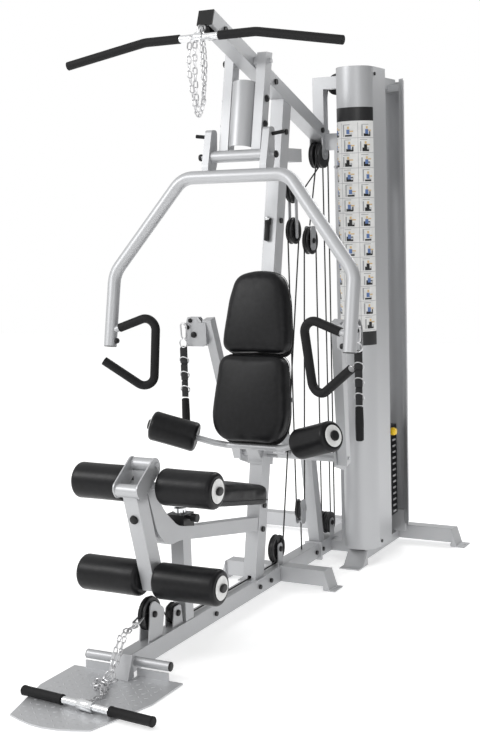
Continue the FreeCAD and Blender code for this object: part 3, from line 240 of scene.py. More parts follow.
def dress(name):
    node = NODES[name]
    node.data.materials.clear()
    node.data.materials.append(MATERIALS[SLOT_OF[name]])
    weld = node.modifiers.new("weld", "WELD")
    weld.merge_threshold = 0.00002
    bevel = node.modifiers.new("edges", "BEVEL")
    bevel.width = SOFT_EDGES.get(SLOT_OF[name], 0.0008)
    bevel.segments = 3
    bevel.limit_method = "ANGLE"
    bevel.angle_limit = math.radians(50)
    bevel.use_clamp_overlap = True
    for face in node.data.polygons:
        face.use_smooth = True
    flats = node.modifiers.new("flats", "WEIGHTED_NORMAL")
    flats.mode = "FACE_AREA"
    flats.weight = 90
    flats.keep_sharp = False


for node_name in NODES:
    dress(node_name)


# ---------------------------------------------------------------- mesh helpers
def piece(name, bm, material, body, smooth=True, subdivide=0):
    """A finished mesh object that rides on a body."""
    mesh = bpy.data.meshes.new(name)
    bmesh.ops.recalc_face_normals(bm, faces=bm.faces)
    bm.to_mesh(mesh)
    bm.free()
    made = bpy.data.objects.new(name, mesh)
    bpy.context.scene.collection.objects.link(made)
    for one in material if isinstance(material, (list, tuple)) else [material]:
        mesh.materials.append(one)
    for face in mesh.polygons:
        face.use_smooth = smooth
    if smooth:
        mesh.set_sharp_from_angle(angle=math.radians(38))
    if subdivide:
        rounding = made.modifiers.new("rounding", "SUBSURF")
        rounding.levels = subdivide
        rounding.render_levels = subdivide
    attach(made, body)
    return made


def carried(side, ahead):
    """The side vector of a run, carried on from the last one and square to the way ahead."""
    if side is None:
        return ahead.orthogonal().normalized()
    return (side - ahead * side.dot(ahead)).normalized()


def turned(profile, centre, axis, segments=48, bm=None):
    """Revolves (radius, along) points about an axis through centre; off it, the last joins the first."""
    bm = bm or bmesh.new()
    axis = Vector(axis).normalized()
    side = axis.orthogonal().normalized()
    up = axis.cross(side)
    centre = Vector(centre)
    rings = []
    for radius, along in profile:
        if radius < 1e-6:
            rings.append([bm.verts.new(centre + axis * along)])
            continue
        loop = []
        for step in range(segments):
            angle = 2 * math.pi * step / segments
            outward = side * math.cos(angle) + up * math.sin(angle)
            loop.append(bm.verts.new(centre + axis * along + outward * radius))
        rings.append(loop)
    closed = len(rings[0]) > 1 and len(rings[-1]) > 1
    pairs = list(zip(rings, rings[1:]))
    if closed:
        pairs.append((rings[-1], rings[0]))
    for one, two in pairs:
        for step in range(segments):
            after = (step + 1) % segments
            if len(one) == 1:
                bm.faces.new((one[0], two[after], two[step]))
            elif len(two) == 1:
                bm.faces.new((one[step], one[after], two[0]))
            else:
                bm.faces.new((one[step], one[after], two[after], two[step]))
    return bm


def rounded_rod(radius, start, end, soft):
    """The (radius, along) outline of a rod with rounded ends."""
    points = [(0, start)]
    for step in range(5):
        angle = math.pi / 2 * step / 4
        points.append((radius - soft + soft * math.sin(angle), start + soft - soft * math.cos(angle)))
    for step in range(5):
        angle = math.pi / 2 * step / 4
        points.append((radius - soft + soft * math.cos(angle), end - soft + soft * math.sin(angle)))
    points.append((0, end))
    return points


def path_tube(points, radius, bm=None, sides=12, closed=False):
    """A round wire along a list of points."""
    bm = bm or bmesh.new()
    points = [Vector(point) for point in points]
    count = len(points)
    side = None
    rings = []
    for number, point in enumerate(points):
        before = points[number - 1] if number or closed else point
        after = points[(number + 1) % count] if number < count - 1 or closed else point
        ahead = (after - before).normalized()
        side = carried(side, ahead)
        up = ahead.cross(side)
        ring = []
        for step in range(sides):
            angle = 2 * math.pi * step / sides
            ring.append(bm.verts.new(point + (side * math.cos(angle) + up * math.sin(angle)) * radius))
        rings.append(ring)
    pairs = list(zip(rings, rings[1:]))
    if closed:
        pairs.append((rings[-1], rings[0]))
    for one, two in pairs:
        for step in range(sides):
            after = (step + 1) % sides
            bm.faces.new((one[step], one[after], two[after], two[step]))
    if not closed:
        bm.faces.new(rings[0][::-1])
        bm.faces.new(rings[-1])
    return bm


def bevelled_box(centre, half, bm=None, turn=None, soft=0.001):
    """A box with bevelled edges."""
    own = bmesh.new()
    bmesh.ops.create_cube(own, size=2)
    bmesh.ops.scale(own, vec=half, verts=own.verts)
    if soft:
        bmesh.ops.bevel(own, geom=list(own.edges), offset=soft, segments=2, affect="EDGES", profile=0.5)
    matrix = Matrix.Translation(Vector(centre)) @ (turn or Matrix.Identity(4))
    bmesh.ops.transform(own, matrix=matrix, verts=own.verts)
    if bm is None:
        return own
    mesh = bpy.data.meshes.new("scratch")
    own.to_mesh(mesh)
    own.free()
    bm.from_mesh(mesh)
    bpy.data.meshes.remove(mesh)
    return bm


# ---------------------------------------------------------------- foam rollers
def roller_profile(radius, inner, start, end):
    """Foam with rounded shoulders, a slight waist and a dished end."""
    soft = 0.015
    length = end - start
    points = [(inner, start + 0.003)]
    points.append((radius * 0.66, start + 0.001))
    for step in range(7):
        angle = math.pi / 2 * step / 6
        points.append((radius - soft + soft * math.sin(angle), start + soft - soft * math.cos(angle)))
    for share in (0.2, 0.35, 0.5, 0.65, 0.8):
        waist = 0.0008 * math.sin(math.pi * share)
        points.append((radius - waist, start + length * share))
    for step in range(7):
        angle = math.pi / 2 * step / 6
        points.append((radius - soft + soft * math.cos(angle), end - soft + soft * math.sin(angle)))
    points.append((radius * 0.66, end - 0.001))
    points.append((inner, end - 0.003))
    return points


def foam_roller(name, centre, axis, radius, inner, start, end, body, outer_end):
    """A foam roller with its seam and its white end washer."""
    foam = piece(name, turned(roller_profile(radius, inner, start, end), centre, axis, 72),
                 MATERIALS["foam_vinyl"], body)
    axis = Vector(axis).normalized()
    side = axis.orthogonal().normalized()
    seam_start = Vector(centre) + axis * (start + 0.014) + side * (radius + 0.0001)
    seam_end = Vector(centre) + axis * (end - 0.014) + side * (radius + 0.0001)
    steps = [seam_start.lerp(seam_end, share / 24) for share in range(25)]
    piece(name + "_seam", path_tube(steps, 0.0007, sides=6), STITCH, body)
    face = end if outer_end > 0 else start
    out = 1 if outer_end > 0 else -1
    disc = [(0.0129, face + out * 0.0004), (0.040, face + out * 0.0004), (0.0415, face + out * 0.0016),
            (0.040, face + out * 0.003), (0.024, face + out * 0.0036), (0.0129, face + out * 0.0036)]
    piece(name + "_washer", turned(disc, centre, axis, 48), WHITE_PLASTIC, body)
    return foam


for label, node, inner in (("lower", "lower_rollers", 0.031), ("upper", "upper_rollers", 0.064)):
    low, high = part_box(node)
    middle = (low + high) / 2
    radius = (high.z - low.z) / 2
    made = []
    for word, sign in (("left", -1), ("right", 1)):
        start, end = (sign * inner, sign * high.x) if sign > 0 else (sign * high.x, sign * inner)
        name = f"{label}_roller_{word}"
        made.append(foam_roller(name, (0, middle.y, middle.z), (1, 0, 0), radius, 0.0127, start, end, node,
                                sign))
    for one in made:
        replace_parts(one, node)
    plug_body = BODY_OF["leg_arm"] if label == "lower" else "frame"
    for word, sign in (("left", -1), ("right", 1)):
        plug = [(r, sign * a) for r, a in rounded_rod(0.0205, 0.2772, 0.2875, 0.004)]
        body = turned(plug, (0, middle.y, middle.z), (1, 0, 0), 32)
        bmesh.ops.scale(body, vec=(1, 1, 0.72), space=Matrix.Translation((0, -middle.y, -middle.z)),
                        verts=body.verts)
        piece(f"{label}_plug_{word}", body, MATERIALS["black_plastic"], plug_body)

for word, sign in (("left", -1), ("right", 1)):
    outer = Vector((sign * 0.398, 0.072, 0.688))
    inner = Vector((sign * 0.160, 0.158, 0.614))
    run = (outer - inner).normalized()
    node = f"bar_roller_{word}"
    length = (outer - inner).length
    foam = foam_roller(node + "_foam", inner, run, 0.059, 0.0127, length - 0.194, length - 0.004, node, 1)
    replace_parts(foam, node)
    plug = turned(rounded_rod(0.02, length - 0.0005, length + 0.010, 0.004), inner, run, 32)
    piece(node + "_plug", plug, MATERIALS["black_plastic"], "roller_bar")


# ---------------------------------------------------------------- cushions
def cushion_mesh(outline, thick, edge, steps=8):
    """A pad from a plan outline in local X and Y: rounded edge, flat back, Z from 0 to thick."""
    bm = bmesh.new()
    centre = Vector((sum(x for x, y in outline) / len(outline), sum(y for x, y in outline) / len(outline)))
    rings = []
    for step in range(steps + 1):
        share = step / steps
        angle = math.pi * share
        pull = edge * (1 - math.sin(angle) ** 0.55) if 0 < share < 1 else edge
        height = thick * (1 - math.cos(angle)) / 2
        ring = []
        for x, y in outline:
            inward = (centre - Vector((x, y))).normalized()
            ring.append(bm.verts.new((x + inward.x * pull, y + inward.y * pull, height)))
        rings.append(ring)
    count = len(outline)
    for one, two in zip(rings, rings[1:]):
        for step in range(count):
            after = (step + 1) % count
            bm.faces.new((one[step], one[after], two[after], two[step]))
    bm.faces.new(rings[0][::-1])
    bm.faces.new(rings[-1])
    return bm


def smooth_outline(corners, radius, steps=6):
    """Rounds the corners of a polygon."""
    points = []
    count = len(corners)
    for number, corner in enumerate(corners):
        corner = Vector(corner)
        before = (Vector(corners[number - 1]) - corner)
        after = (Vector(corners[(number + 1) % count]) - corner)
        size = radius[number] if isinstance(radius, (list, tuple)) else radius
        reach = min(size, before.length * 0.48, after.length * 0.48)
        start = corner + before.normalized() * reach
        end = corner + after.normalized() * reach
        for step in range(steps + 1):
            share = step / steps
            points.append(tuple(start.lerp(corner, share).lerp(corner.lerp(end, share), share)))
    return points


def crown(mesh, rise):
    """Domes the front of a pad, most at its middle and nothing at its rim."""
    xs, ys, zs = zip(*(vertex.co for vertex in mesh.vertices))
    half_x, half_y = (max(xs) - min(xs)) / 2, (max(ys) - min(ys)) / 2
    mid_x, mid_y = (max(xs) + min(xs)) / 2, (max(ys) + min(ys)) / 2
    for vertex in mesh.vertices:
        across = (vertex.co.x - mid_x) / half_x
        along = (vertex.co.y - mid_y) / half_y
        front = max(0.0, vertex.co.z / max(zs)) ** 3
        vertex.co.z += rise * front * (1 - across * across) * (1 - along * along)


def puffed(made, cap, pressure=4.0, hold=None):
    """Swells a closed pad by cloth pressure, capped, and keeps its mounting face flat."""
    bpy.context.view_layer.update()
    remesh = made.modifiers.new("remesh", "REMESH")
    remesh.mode = "VOXEL"
    remesh.voxel_size = CLOTH_CELL
    depsgraph = bpy.context.evaluated_depsgraph_get()
    fine = bpy.data.meshes.new_from_object(made.evaluated_get(depsgraph))
    made.modifiers.clear()
    made.data = fine
    before = [vertex.co.copy() for vertex in fine.vertices]
    cloth = made.modifiers.new("cloth", "CLOTH")
    cloth.settings.use_pressure = True
    cloth.settings.uniform_pressure_force = pressure
    cloth.settings.effector_weights.gravity = 0
    cloth.settings.tension_stiffness = 25
    cloth.settings.compression_stiffness = 25
    cloth.settings.bending_stiffness = 1.2
    scene = bpy.context.scene
    for frame_number in range(1, 16):
        scene.frame_set(frame_number)
    depsgraph = bpy.context.evaluated_depsgraph_get()
    swollen = bpy.data.meshes.new_from_object(made.evaluated_get(depsgraph))
    made.modifiers.clear()
    made.data = swollen
    scene.frame_set(1)
    for number, vertex in enumerate(made.data.vertices):
        move = vertex.co - before[number]
        if move.length > cap:
            move *= cap / move.length
        if hold is not None:
            move *= hold(before[number])
        vertex.co = before[number] + move
    crown(made.data, PAD_RISE)
    made.data.materials.clear()
    made.data.materials.append(MATERIALS["black_vinyl"])
    for face in made.data.polygons:
        face.use_smooth = True
    taut = made.modifiers.new("taut", "SMOOTH")
    taut.factor = 0.5
    taut.iterations = 14
    rounding = made.modifiers.new("rounding", "SUBSURF")
    rounding.levels = 1
    rounding.render_levels = 1
    return made


LEAN = math.radians(11.01)
LEAN_FOOT = 0.1027


def pad_place(foot):
    """The upright's leaning frame: local X across, Y up along the upright, Z forward from the pad's back."""
    up = Vector((0, math.sin(LEAN), math.cos(LEAN)))
    out = Vector((0, -math.cos(LEAN), math.sin(LEAN)))
    origin = Vector((0, LEAN_FOOT, 0)) + out * foot
    return Matrix(((1, 0, 0, 0), (0, up.y, out.y, origin.y), (0, up.z, out.z, origin.z), (0, 0, 0, 1)))


def make_pad(name, bm, place, node, body, cap):
    bmesh.ops.recalc_face_normals(bm, faces=bm.faces)
    bmesh.ops.triangulate(bm, faces=bm.faces)
    mesh = bpy.data.meshes.new(name)
    bm.to_mesh(mesh)
    bm.free()
    made = bpy.data.objects.new(name, mesh)
    bpy.context.scene.collection.objects.link(made)
    puffed(made, cap, hold=lambda co: min(1.0, max(0.0, (co.z - 0.004) / 0.02)))
    made.data.transform(place)
    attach(made, body)
    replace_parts(made, node)
    return made


def seam(name, outline, height, place, body, inset=0.0):
    """A welt of piping round a pad."""
    centre = Vector((sum(x for x, y in outline) / len(outline), sum(y for x, y in outline) / len(outline)))
    points = []
    for x, y in outline:
        inward = (centre - Vector((x, y))).normalized() * inset
        points.append(place @ Vector((x + inward.x, y + inward.y, height)))
    return piece(name, path_tube(points, 0.0013, sides=8, closed=True), MATERIALS["black_vinyl"], body)


BACK_THICK = 0.062
SEAT_THICK = 0.068
PAD_EDGE = 0.016
CLOTH_CAP = 0.005
CLOTH_CELL = 0.0058
PAD_RISE = 0.011
LOWER_HALF = [(0.108, 0.621), (0.153, 0.657), (0.171, 0.715), (0.166, 0.800), (0.149, 0.942), (0.122, 0.968)]
UPPER_HALF = [(0.124, 0.970), (0.149, 0.994), (0.149, 1.050), (0.132, 1.200), (0.101, 1.280), (0.034, 1.300)]
for name, half, stand_off in (("back_pad_lower", LOWER_HALF, 0.0385), ("back_pad_upper", UPPER_HALF, 0.0205)):
    corners = half + [(-x, y) for x, y in reversed(half)]
    outline = smooth_outline(corners, 0.12)
    place = pad_place(stand_off)
    cushion = cushion_mesh([(x * 0.985, y) for x, y in outline], BACK_THICK, PAD_EDGE)
    make_pad(name + "_cover", cushion, place, name, "frame", CLOTH_CAP)
    seam(name + "_welt", outline, 0.016, place, "frame", inset=0.002)
    board = bmesh.new()
    foot = corners[0][1]
    flat = [place @ Vector((x * 0.93, foot + (y - foot) * 0.94 - 0.008, -0.0001)) for x, y in outline]
    low_ring = [board.verts.new(p) for p in flat]
    high_ring = [board.verts.new(p + (place.to_3x3() @ Vector((0, 0, -0.006)))) for p in flat]
    board.faces.new(low_ring)
    board.faces.new(high_ring[::-1])
    for step in range(len(flat)):
        after = (step + 1) % len(flat)
        board.faces.new((low_ring[step], low_ring[after], high_ring[after], high_ring[step]))
    piece(name + "_board", board, MATERIALS["black_plastic"], "frame")

tilt = math.radians(-11)
seat_origin = Vector((0, 0.048, 0.412))
back = Vector((0, math.cos(tilt), math.sin(tilt)))
rise = Vector((0, -math.sin(tilt), math.cos(tilt)))
SEAT_PLACE = Matrix(((1, 0, 0, 0),
                     (0, back.y, rise.y, seat_origin.y),
                     (0, back.z, rise.z, seat_origin.z),
                     (0, 0, 0, 1)))
SEAT = [(-0.138, 0.004), (0.138, 0.004), (0.138, -0.40), (0.112, -0.456), (-0.112, -0.456), (-0.138, -0.40)]
seat_outline = smooth_outline(SEAT, [0.03, 0.03, 0.07, 0.05, 0.05, 0.07])
cushion = cushion_mesh([(x * 0.975, y) for x, y in seat_outline], SEAT_THICK, PAD_EDGE)
make_pad("seat_cover", cushion, SEAT_PLACE, "seat_cushion", "seat", CLOTH_CAP)
seam("seat_welt", seat_outline, 0.018, SEAT_PLACE, "seat", inset=0.002)


# ---------------------------------------------------------------- pulleys
def pulley(name, centre, axis, radius, half):
    """A grooved nylon pulley: rim, recessed web with ribs, and hub."""
    node_body = BODY_OF[name]
    rim = [(0.0061, -half), (0.014, -half), (0.0145, -half * 0.55), (radius * 0.78, -half * 0.55),
           (radius * 0.82, -half)]
    rim += [(radius, -half), (radius, -half * 0.72), (radius - 0.0042, -half * 0.28),
            (radius - 0.0042, half * 0.28)]
    rim += [(radius, half * 0.72), (radius, half), (radius * 0.82, half), (radius * 0.78, half * 0.55)]
    rim += [(0.0145, half * 0.55), (0.014, half), (0.0061, half)]
    bm = turned(rim, centre, axis, 64)
    axis = Vector(axis).normalized()
    side = axis.orthogonal().normalized()
    up = axis.cross(side)
    for step in range(6):
        angle = 2 * math.pi * step / 6
        out = side * math.cos(angle) + up * math.sin(angle)
        across = axis.cross(out)
        turn = Matrix((axis, out, across)).transposed().to_4x4()
        middle = Vector(centre) + out * (radius * 0.47)
        bevelled_box(middle, (half * 0.86, radius * 0.29, 0.0016), bm, turn, 0)
    return piece(name + "_wheel", bm, MATERIALS["pulley_plastic"], node_body)


def wheel_from(node):
    """Replaces a CAD pulley by a detailed one on the same centre."""
    low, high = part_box(node)
    span = high - low
    middle = (low + high) / 2
    axis = (1, 0, 0) if span.x < span.y else (0, 1, 0)
    half = min(span.x, span.y) / 2
    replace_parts(pulley(node, middle, axis, max(span.x, span.y, span.z) / 2, half), node)


for node in ("front_pulley", "base_pulley", "swivel_pulley", "floating_pulley", "strap_pulley_lower",
             "strap_pulley_upper", "lat_pulley", "gooseneck_pulley", "tower_pulley", "arm_pulley_left",
             "arm_pulley_right"):
    wheel_from(node)

# ---------------------------------------------------------------- tread plate
PLATE_TOP = 0.006
PLATE_HALF = 0.203
PLATE_SHOULDER = -0.948
PLATE_NOSE = -1.190


def on_plate(x, y):
    """Whether a tread bar at x, y lies well inside the foot plate."""
    if y > -0.775 or (y > -0.780 and abs(x) < 0.056):
        return False
    if y > PLATE_SHOULDER:
        return abs(x) < PLATE_HALF
    if y > PLATE_NOSE:
        return abs(x) < PLATE_HALF - 0.065 * (PLATE_SHOULDER - y) / 0.242
    return abs(x) < 0.13 and y > PLATE_NOSE - 0.032 * math.cos(x / 0.15 * math.pi / 2)


def tread():
    """Raised bars in alternate diagonals, as on chequer plate."""
    bm = bmesh.new()
    pitch = 0.029
    for row in range(int(0.48 / pitch) + 1):
        for column in range(-8, 9):
            x = column * pitch
            y = -0.772 - row * pitch
            if not on_plate(x, y):
                continue
            angle = math.radians(45 if (row + column) % 2 else -45)
            along = Vector((math.cos(angle), math.sin(angle), 0))
            across = Vector((-along.y, along.x, 0))
            base = Vector((x, y, PLATE_TOP - 0.0002))
            top = base + Vector((0, 0, 0.0015))
            rim = []
            crest = []
            for step in range(8):
                turn = 2 * math.pi * step / 8
                swing, sway = math.cos(turn), math.sin(turn)
                rim.append(bm.verts.new(base + along * 0.0082 * swing + across * 0.0025 * sway))
                crest.append(bm.verts.new(top + along * 0.0060 * swing + across * 0.0013 * sway))
            for step in range(8):
                after = (step + 1) % 8
                bm.faces.new((rim[step], rim[after], crest[after], crest[step]))
            bm.faces.new(crest)
            bm.faces.new(rim[::-1])
    return piece("tread_bars", bm, MATERIALS["tread_plate"], "frame")


tread()


# ---------------------------------------------------------------- chains
def resample(points, step):
    """Even points along a polyline smoothed by Catmull-Rom spans."""
    points = [Vector(point) for point in points]
    padded = [points[0] * 2 - points[1]] + points + [points[-1] * 2 - points[-2]]
    dense = []
    for a, b, c, d in zip(padded, padded[1:], padded[2:], padded[3:]):
        for share in range(24):
            u = share / 24
            square = (2 * a - 5 * b + 4 * c - d) * u * u
            cube = (3 * b - a - 3 * c + d) * u ** 3
            dense.append(0.5 * ((2 * b) + (c - a) * u + square + cube))
    dense.append(points[-1])
    even = [dense[0]]
    reach = 0.0
    for one, two in zip(dense, dense[1:]):
        reach += (two - one).length
        if reach >= step:
            even.append(two)
            reach = 0.0
    return even


def chain(name, points, body, pitch=0.020, wire=0.0021, width=0.0062):
    """A welded chain: each link is a bent wire, turned a quarter from the last."""
    bm = bmesh.new()
    places = resample(points, pitch)
    side = None
    for number, (one, two) in enumerate(zip(places, places[1:])):
        ahead = (two - one).normalized()
        side = carried(side, ahead)
        up = ahead.cross(side)
        flat = side if number % 2 else up
        middle = (one + two) / 2
        half = pitch / 2 + wire * 0.9 - width
        link = []
        for step in range(16):
            angle = 2 * math.pi * step / 16
            push = half if math.cos(angle) > 0 else -half
            link.append(middle + ahead * (push + width * math.cos(angle)) + flat * width * math.sin(angle))
        path_tube(link, wire, bm, 8, closed=True)
    return piece(name, bm, MATERIALS["zinc_chain"], body)


CHAIN_Y = -0.1485
lat_chain_line = [(-0.026, CHAIN_Y, 2.136), (-0.034, CHAIN_Y, 2.02), (-0.013, CHAIN_Y, 1.880),
                  (0, CHAIN_Y, 1.856), (0.013, CHAIN_Y, 1.884), (0.032, CHAIN_Y, 2.02),
                  (0.026, CHAIN_Y, 2.136)]
inner_line = [(-0.012, CHAIN_Y + 0.012, 2.136), (-0.017, CHAIN_Y + 0.012, 2.03),
              (-0.012, CHAIN_Y + 0.009, 1.905), (0.004, CHAIN_Y + 0.007, 1.892),
              (0.016, CHAIN_Y + 0.010, 1.912), (0.014, CHAIN_Y + 0.012, 2.04),
              (0.010, CHAIN_Y + 0.012, 2.136)]
lat_links = chain("lat_chain_links", lat_chain_line, "lat_bar", pitch=0.021, wire=0.0025, width=0.0072)
chain("lat_chain_inner", inner_line, "lat_bar", pitch=0.021, wire=0.0025, width=0.0072)
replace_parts(lat_links, "lat_chain")


def carabiner(name, middle, along, flat, body, length=0.062, width=0.017, wire=0.0034):
    """A snap hook: a bent wire ring, slimmer on one side."""
    along = Vector(along).normalized()
    flat = Vector(flat).normalized()
    ring = []
    for step in range(28):
        angle = 2 * math.pi * step / 28
        push = (length / 2 - width) * (1 if math.cos(angle) > 0 else -1)
        girth = width * (1.0 if math.cos(angle) > 0 else 0.8)
        ring.append(Vector(middle) + along * (push + width * math.cos(angle))
                    + flat * girth * math.sin(angle))
    bm = path_tube(ring, wire, sides=10, closed=True)
    return piece(name, bm, MATERIALS["zinc_chain"], body)


carabiner("lat_snap_hook", (0, -0.108, 2.163), (0, -1, -0.25), (0, -0.25, 1), "lat_bar", 0.05, 0.012)
low_chain_line = [(0, -0.688, 0.158), (0.004, -0.770, 0.138), (0.012, -0.838, 0.068),
                  (-0.026, -0.878, 0.017), (0.030, -0.930, 0.016), (0.050, -0.990, 0.018),
                  (0.058, -1.043, 0.030)]
low_links = chain("low_chain_links", low_chain_line, "frame")
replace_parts(low_links, "low_chain")
heap_line = [(0.020, -0.850, 0.020), (-0.012, -0.872, 0.012), (-0.030, -0.905, 0.011),
             (-0.004, -0.922, 0.012), (0.016, -0.898, 0.012), (-0.006, -0.880, 0.024),
             (-0.034, -0.888, 0.024), (-0.022, -0.922, 0.022), (0.014, -0.930, 0.027),
             (0.036, -0.962, 0.012), (0.030, -1.000, 0.012), (0.044, -1.030, 0.018)]
chain("low_chain_heap", heap_line, "frame")
slack_line = [(0.003, -0.692, 0.152), (-0.010, -0.740, 0.148), (-0.012, -0.778, 0.136),
              (0.000, -0.842, 0.070), (0.018, -0.866, 0.030)]
chain("low_chain_slack", slack_line, "frame")
carabiner("low_snap_hook", (0, -0.680, 0.166), (0, -1, -0.3), (1, 0, 0), "frame", 0.05, 0.012)

# ---------------------------------------------------------------- bars
LOW_LEFT = Vector((-0.200, -1.052, 0.025))
LOW_RIGHT = Vector((0.316, -1.104, 0.025))
low_run = (LOW_RIGHT - LOW_LEFT).normalized()
low_length = (LOW_RIGHT - LOW_LEFT).length
LOW_GRIP = 0.165
low_steel = turned(rounded_rod(0.0125, 0.001, low_length - 0.001, 0.002), LOW_LEFT, low_run, 32)
low_rod = piece("low_bar_rod", low_steel, MATERIALS["chrome"], "low_bar")
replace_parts(low_rod, "low_bar")


def grip_outline(start, end, radius=0.0168, bore=0.0126):
    """A foam sleeve with a rolled lip at each end."""
    lip = [(bore, 0), (radius - 0.0016, 0), (radius, 0.002), (radius, 0.008), (radius - 0.0009, 0.011)]
    near = [(reach, start + along) for reach, along in lip]
    far = [(reach, end - along) for reach, along in reversed(lip)]
    return near + [(radius - 0.0006, (start + end) / 2)] + far


for word, start, end, tip in (("left", -0.002, LOW_GRIP, -0.002),
                              ("right", low_length - LOW_GRIP, low_length + 0.002, low_length + 0.002)):
    grip = turned(grip_outline(start, end), LOW_LEFT, low_run, 40)
    plug = [(0, tip - 0.0028), (0.0126, tip - 0.0028), (0.0126, tip + 0.0004), (0, tip + 0.0004)]
    turned(plug, LOW_LEFT, low_run, 40, grip)
    piece(f"low_grip_{word}", grip, MATERIALS["grip_foam"], "low_bar")
middle = low_length / 2
sleeve = [(0.0128, middle - 0.03), (0.017, middle - 0.03), (0.0185, middle - 0.027)]
sleeve += [(0.0185, middle + 0.027), (0.017, middle + 0.03), (0.0128, middle + 0.03)]
piece("low_bar_sleeve", turned(sleeve, LOW_LEFT, low_run, 40), MATERIALS["chrome"], "frame")
lat_mid = [(0.0127, -0.016), (0.0175, -0.015), (0.0175, 0.015), (0.0127, 0.016)]
piece("lat_bar_collar", turned(lat_mid, (0, -0.128, 2.131), (1, 0, 0), 40), MATERIALS["chrome"], "lat_bar")

# ---------------------------------------------------------------- strap handles
STRAP_X = 0.390
STRAP_Y = 0.336
FULL_TURN = [2 * math.pi * k / 24 for k in range(24)]
for word, sign in (("left", -1), ("right", 1)):
    node = f"handle_{word}"
    x = sign * STRAP_X
    y = STRAP_Y
    carabiner(f"{node}_snap", (sign * 0.387, y, 1.036), (0, 0, 1), (1, 0, 0), node, 0.066, 0.014)
    ring = [Vector((x + 0.017 * math.sin(a), y, 0.985 + 0.017 * math.cos(a))) for a in FULL_TURN]
    piece(f"{node}_ring", path_tube(ring, 0.0028, sides=10, closed=True), MATERIALS["zinc_chain"], node)
    bm = bmesh.new()
    for level in range(3):
        top = 0.968 - level * 0.07
        bevelled_box((x, y + 0.0022, top - 0.03), (0.0160 - level * 0.0012, 0.0012, 0.036), bm, None, 0.0006)
        bevelled_box((x, y - 0.0022, top - 0.034), (0.0160 - level * 0.0012, 0.0012, 0.032), bm, None, 0.0006)
    webbing = piece(f"{node}_webbing", bm, MATERIALS["webbing"], node)
    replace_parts(webbing, node)
    for level in range(3):
        z = 0.914 - level * 0.06
        ring = []
        for a in FULL_TURN:
            ring.append(Vector((x + 0.021 * math.cos(a), y + 0.002 - 0.006 * math.sin(a),
                                z + 0.015 * math.sin(a))))
        piece(f"{node}_ring_{level + 1}", path_tube(ring, 0.0026, sides=10, closed=True),
              MATERIALS["zinc_chain"], node)
    half_grip = [(0, -0.0675), (0.011, -0.0675), (0.0155, -0.064), (0.0162, -0.03)]
    grip = half_grip + [(0.0168, 0)] + [(radius, -along) for radius, along in reversed(half_grip)]
    piece(f"{node}_grip", turned(grip, (x, y, 0.6885), (0, 0, 1), 40), MATERIALS["grip_foam"], node)

# ---------------------------------------------------------------- bolt caps, plugs and levers
def bolt_cap(name, centre, axis, radius, height, body, material="black_plastic"):
    """A domed cap on the end of a bolt, standing on a face."""
    dome = [(0, -0.001), (radius, -0.001), (radius, height * 0.4), (radius * 0.9, height * 0.72),
            (radius * 0.6, height * 0.94), (0, height)]
    return piece(name, turned(dome, centre, axis, 32), MATERIALS[material], body)


# name, half width over the cheek plates, Y and Z of each axle that carries a pair of caps
AXLES = [("front", 0.020, -0.610, 0.168), ("base", 0.018, -0.455, 0.125), ("swivel", 0.018, 0.363, 0.146),
         ("floating", 0.016, 0.760, 1.385), ("low", 0.028, 0.860, 0.140)]
YOKE = BODY_OF["press_yoke"]
ARM = BODY_OF["press_arm"]
LEG = BODY_OF["leg_arm"]
bolt_cap("yoke_pin_cap", (-0.098, 0.243, 2.076), (-1, 0, 0), 0.014, 0.009, YOKE)
for word, sign in (("left", -1), ("right", 1)):
    for number, z in enumerate((1.840, 1.935)):
        bolt_cap(f"yoke_cap_{word}_{number + 1}", (sign * 0.088, 0.172 + (z - 1.748) * 0.207, z),
                 (sign, 0, 0), 0.0135, 0.011, YOKE)
    bolt_cap(f"pivot_cap_{word}", (sign * 0.158, 0.135, 1.724), (sign, 0, 0), 0.0135, 0.010, ARM)
    bolt_cap(f"arm_plug_{word}", (sign * 0.508, -0.0235, 1.010), (0, -0.189, -0.982), 0.0243, 0.003, ARM)
    bolt_cap(f"arm_bolt_{word}", (sign * 0.483, -0.019, 1.031), (-sign, 0, 0), 0.011, 0.013, ARM)
    bolt_cap(f"handle_tip_{word}", (sign * 0.524, -0.048, 0.955), (sign * 178, -72, 134), 0.0128, 0.002, ARM,
             "zinc_chain")
    head = BODY_OF[f"arm_{word}"]
    bolt_cap(f"housing_cap_{word}", (sign * 0.349, 0.355, 1.019), (0, -1, 0), 0.0125, 0.010, head)
    bolt_cap(f"housing_pin_{word}_1", (sign * 0.364, 0.355, 1.078), (0, -1, 0), 0.009, 0.009, head)
    bolt_cap(f"housing_pin_{word}_2", (sign * 0.379, 0.355, 1.049), (0, -1, 0), 0.009, 0.009, head)
    bolt_cap(f"peg_plug_{word}", (sign * 0.163, -0.748, 0.050), (sign, 0, 0), 0.0158, 0.003, "frame")
    for label, reach, y, z in AXLES:
        bolt_cap(f"{label}_axle_cap_{word}", (sign * reach, y, z), (sign, 0, 0), 0.0115, 0.009, "frame")
bolt_cap("leg_cap", (0, -0.6777, 0.512), (0, -0.964, -0.266), 0.0155, 0.010, LEG)

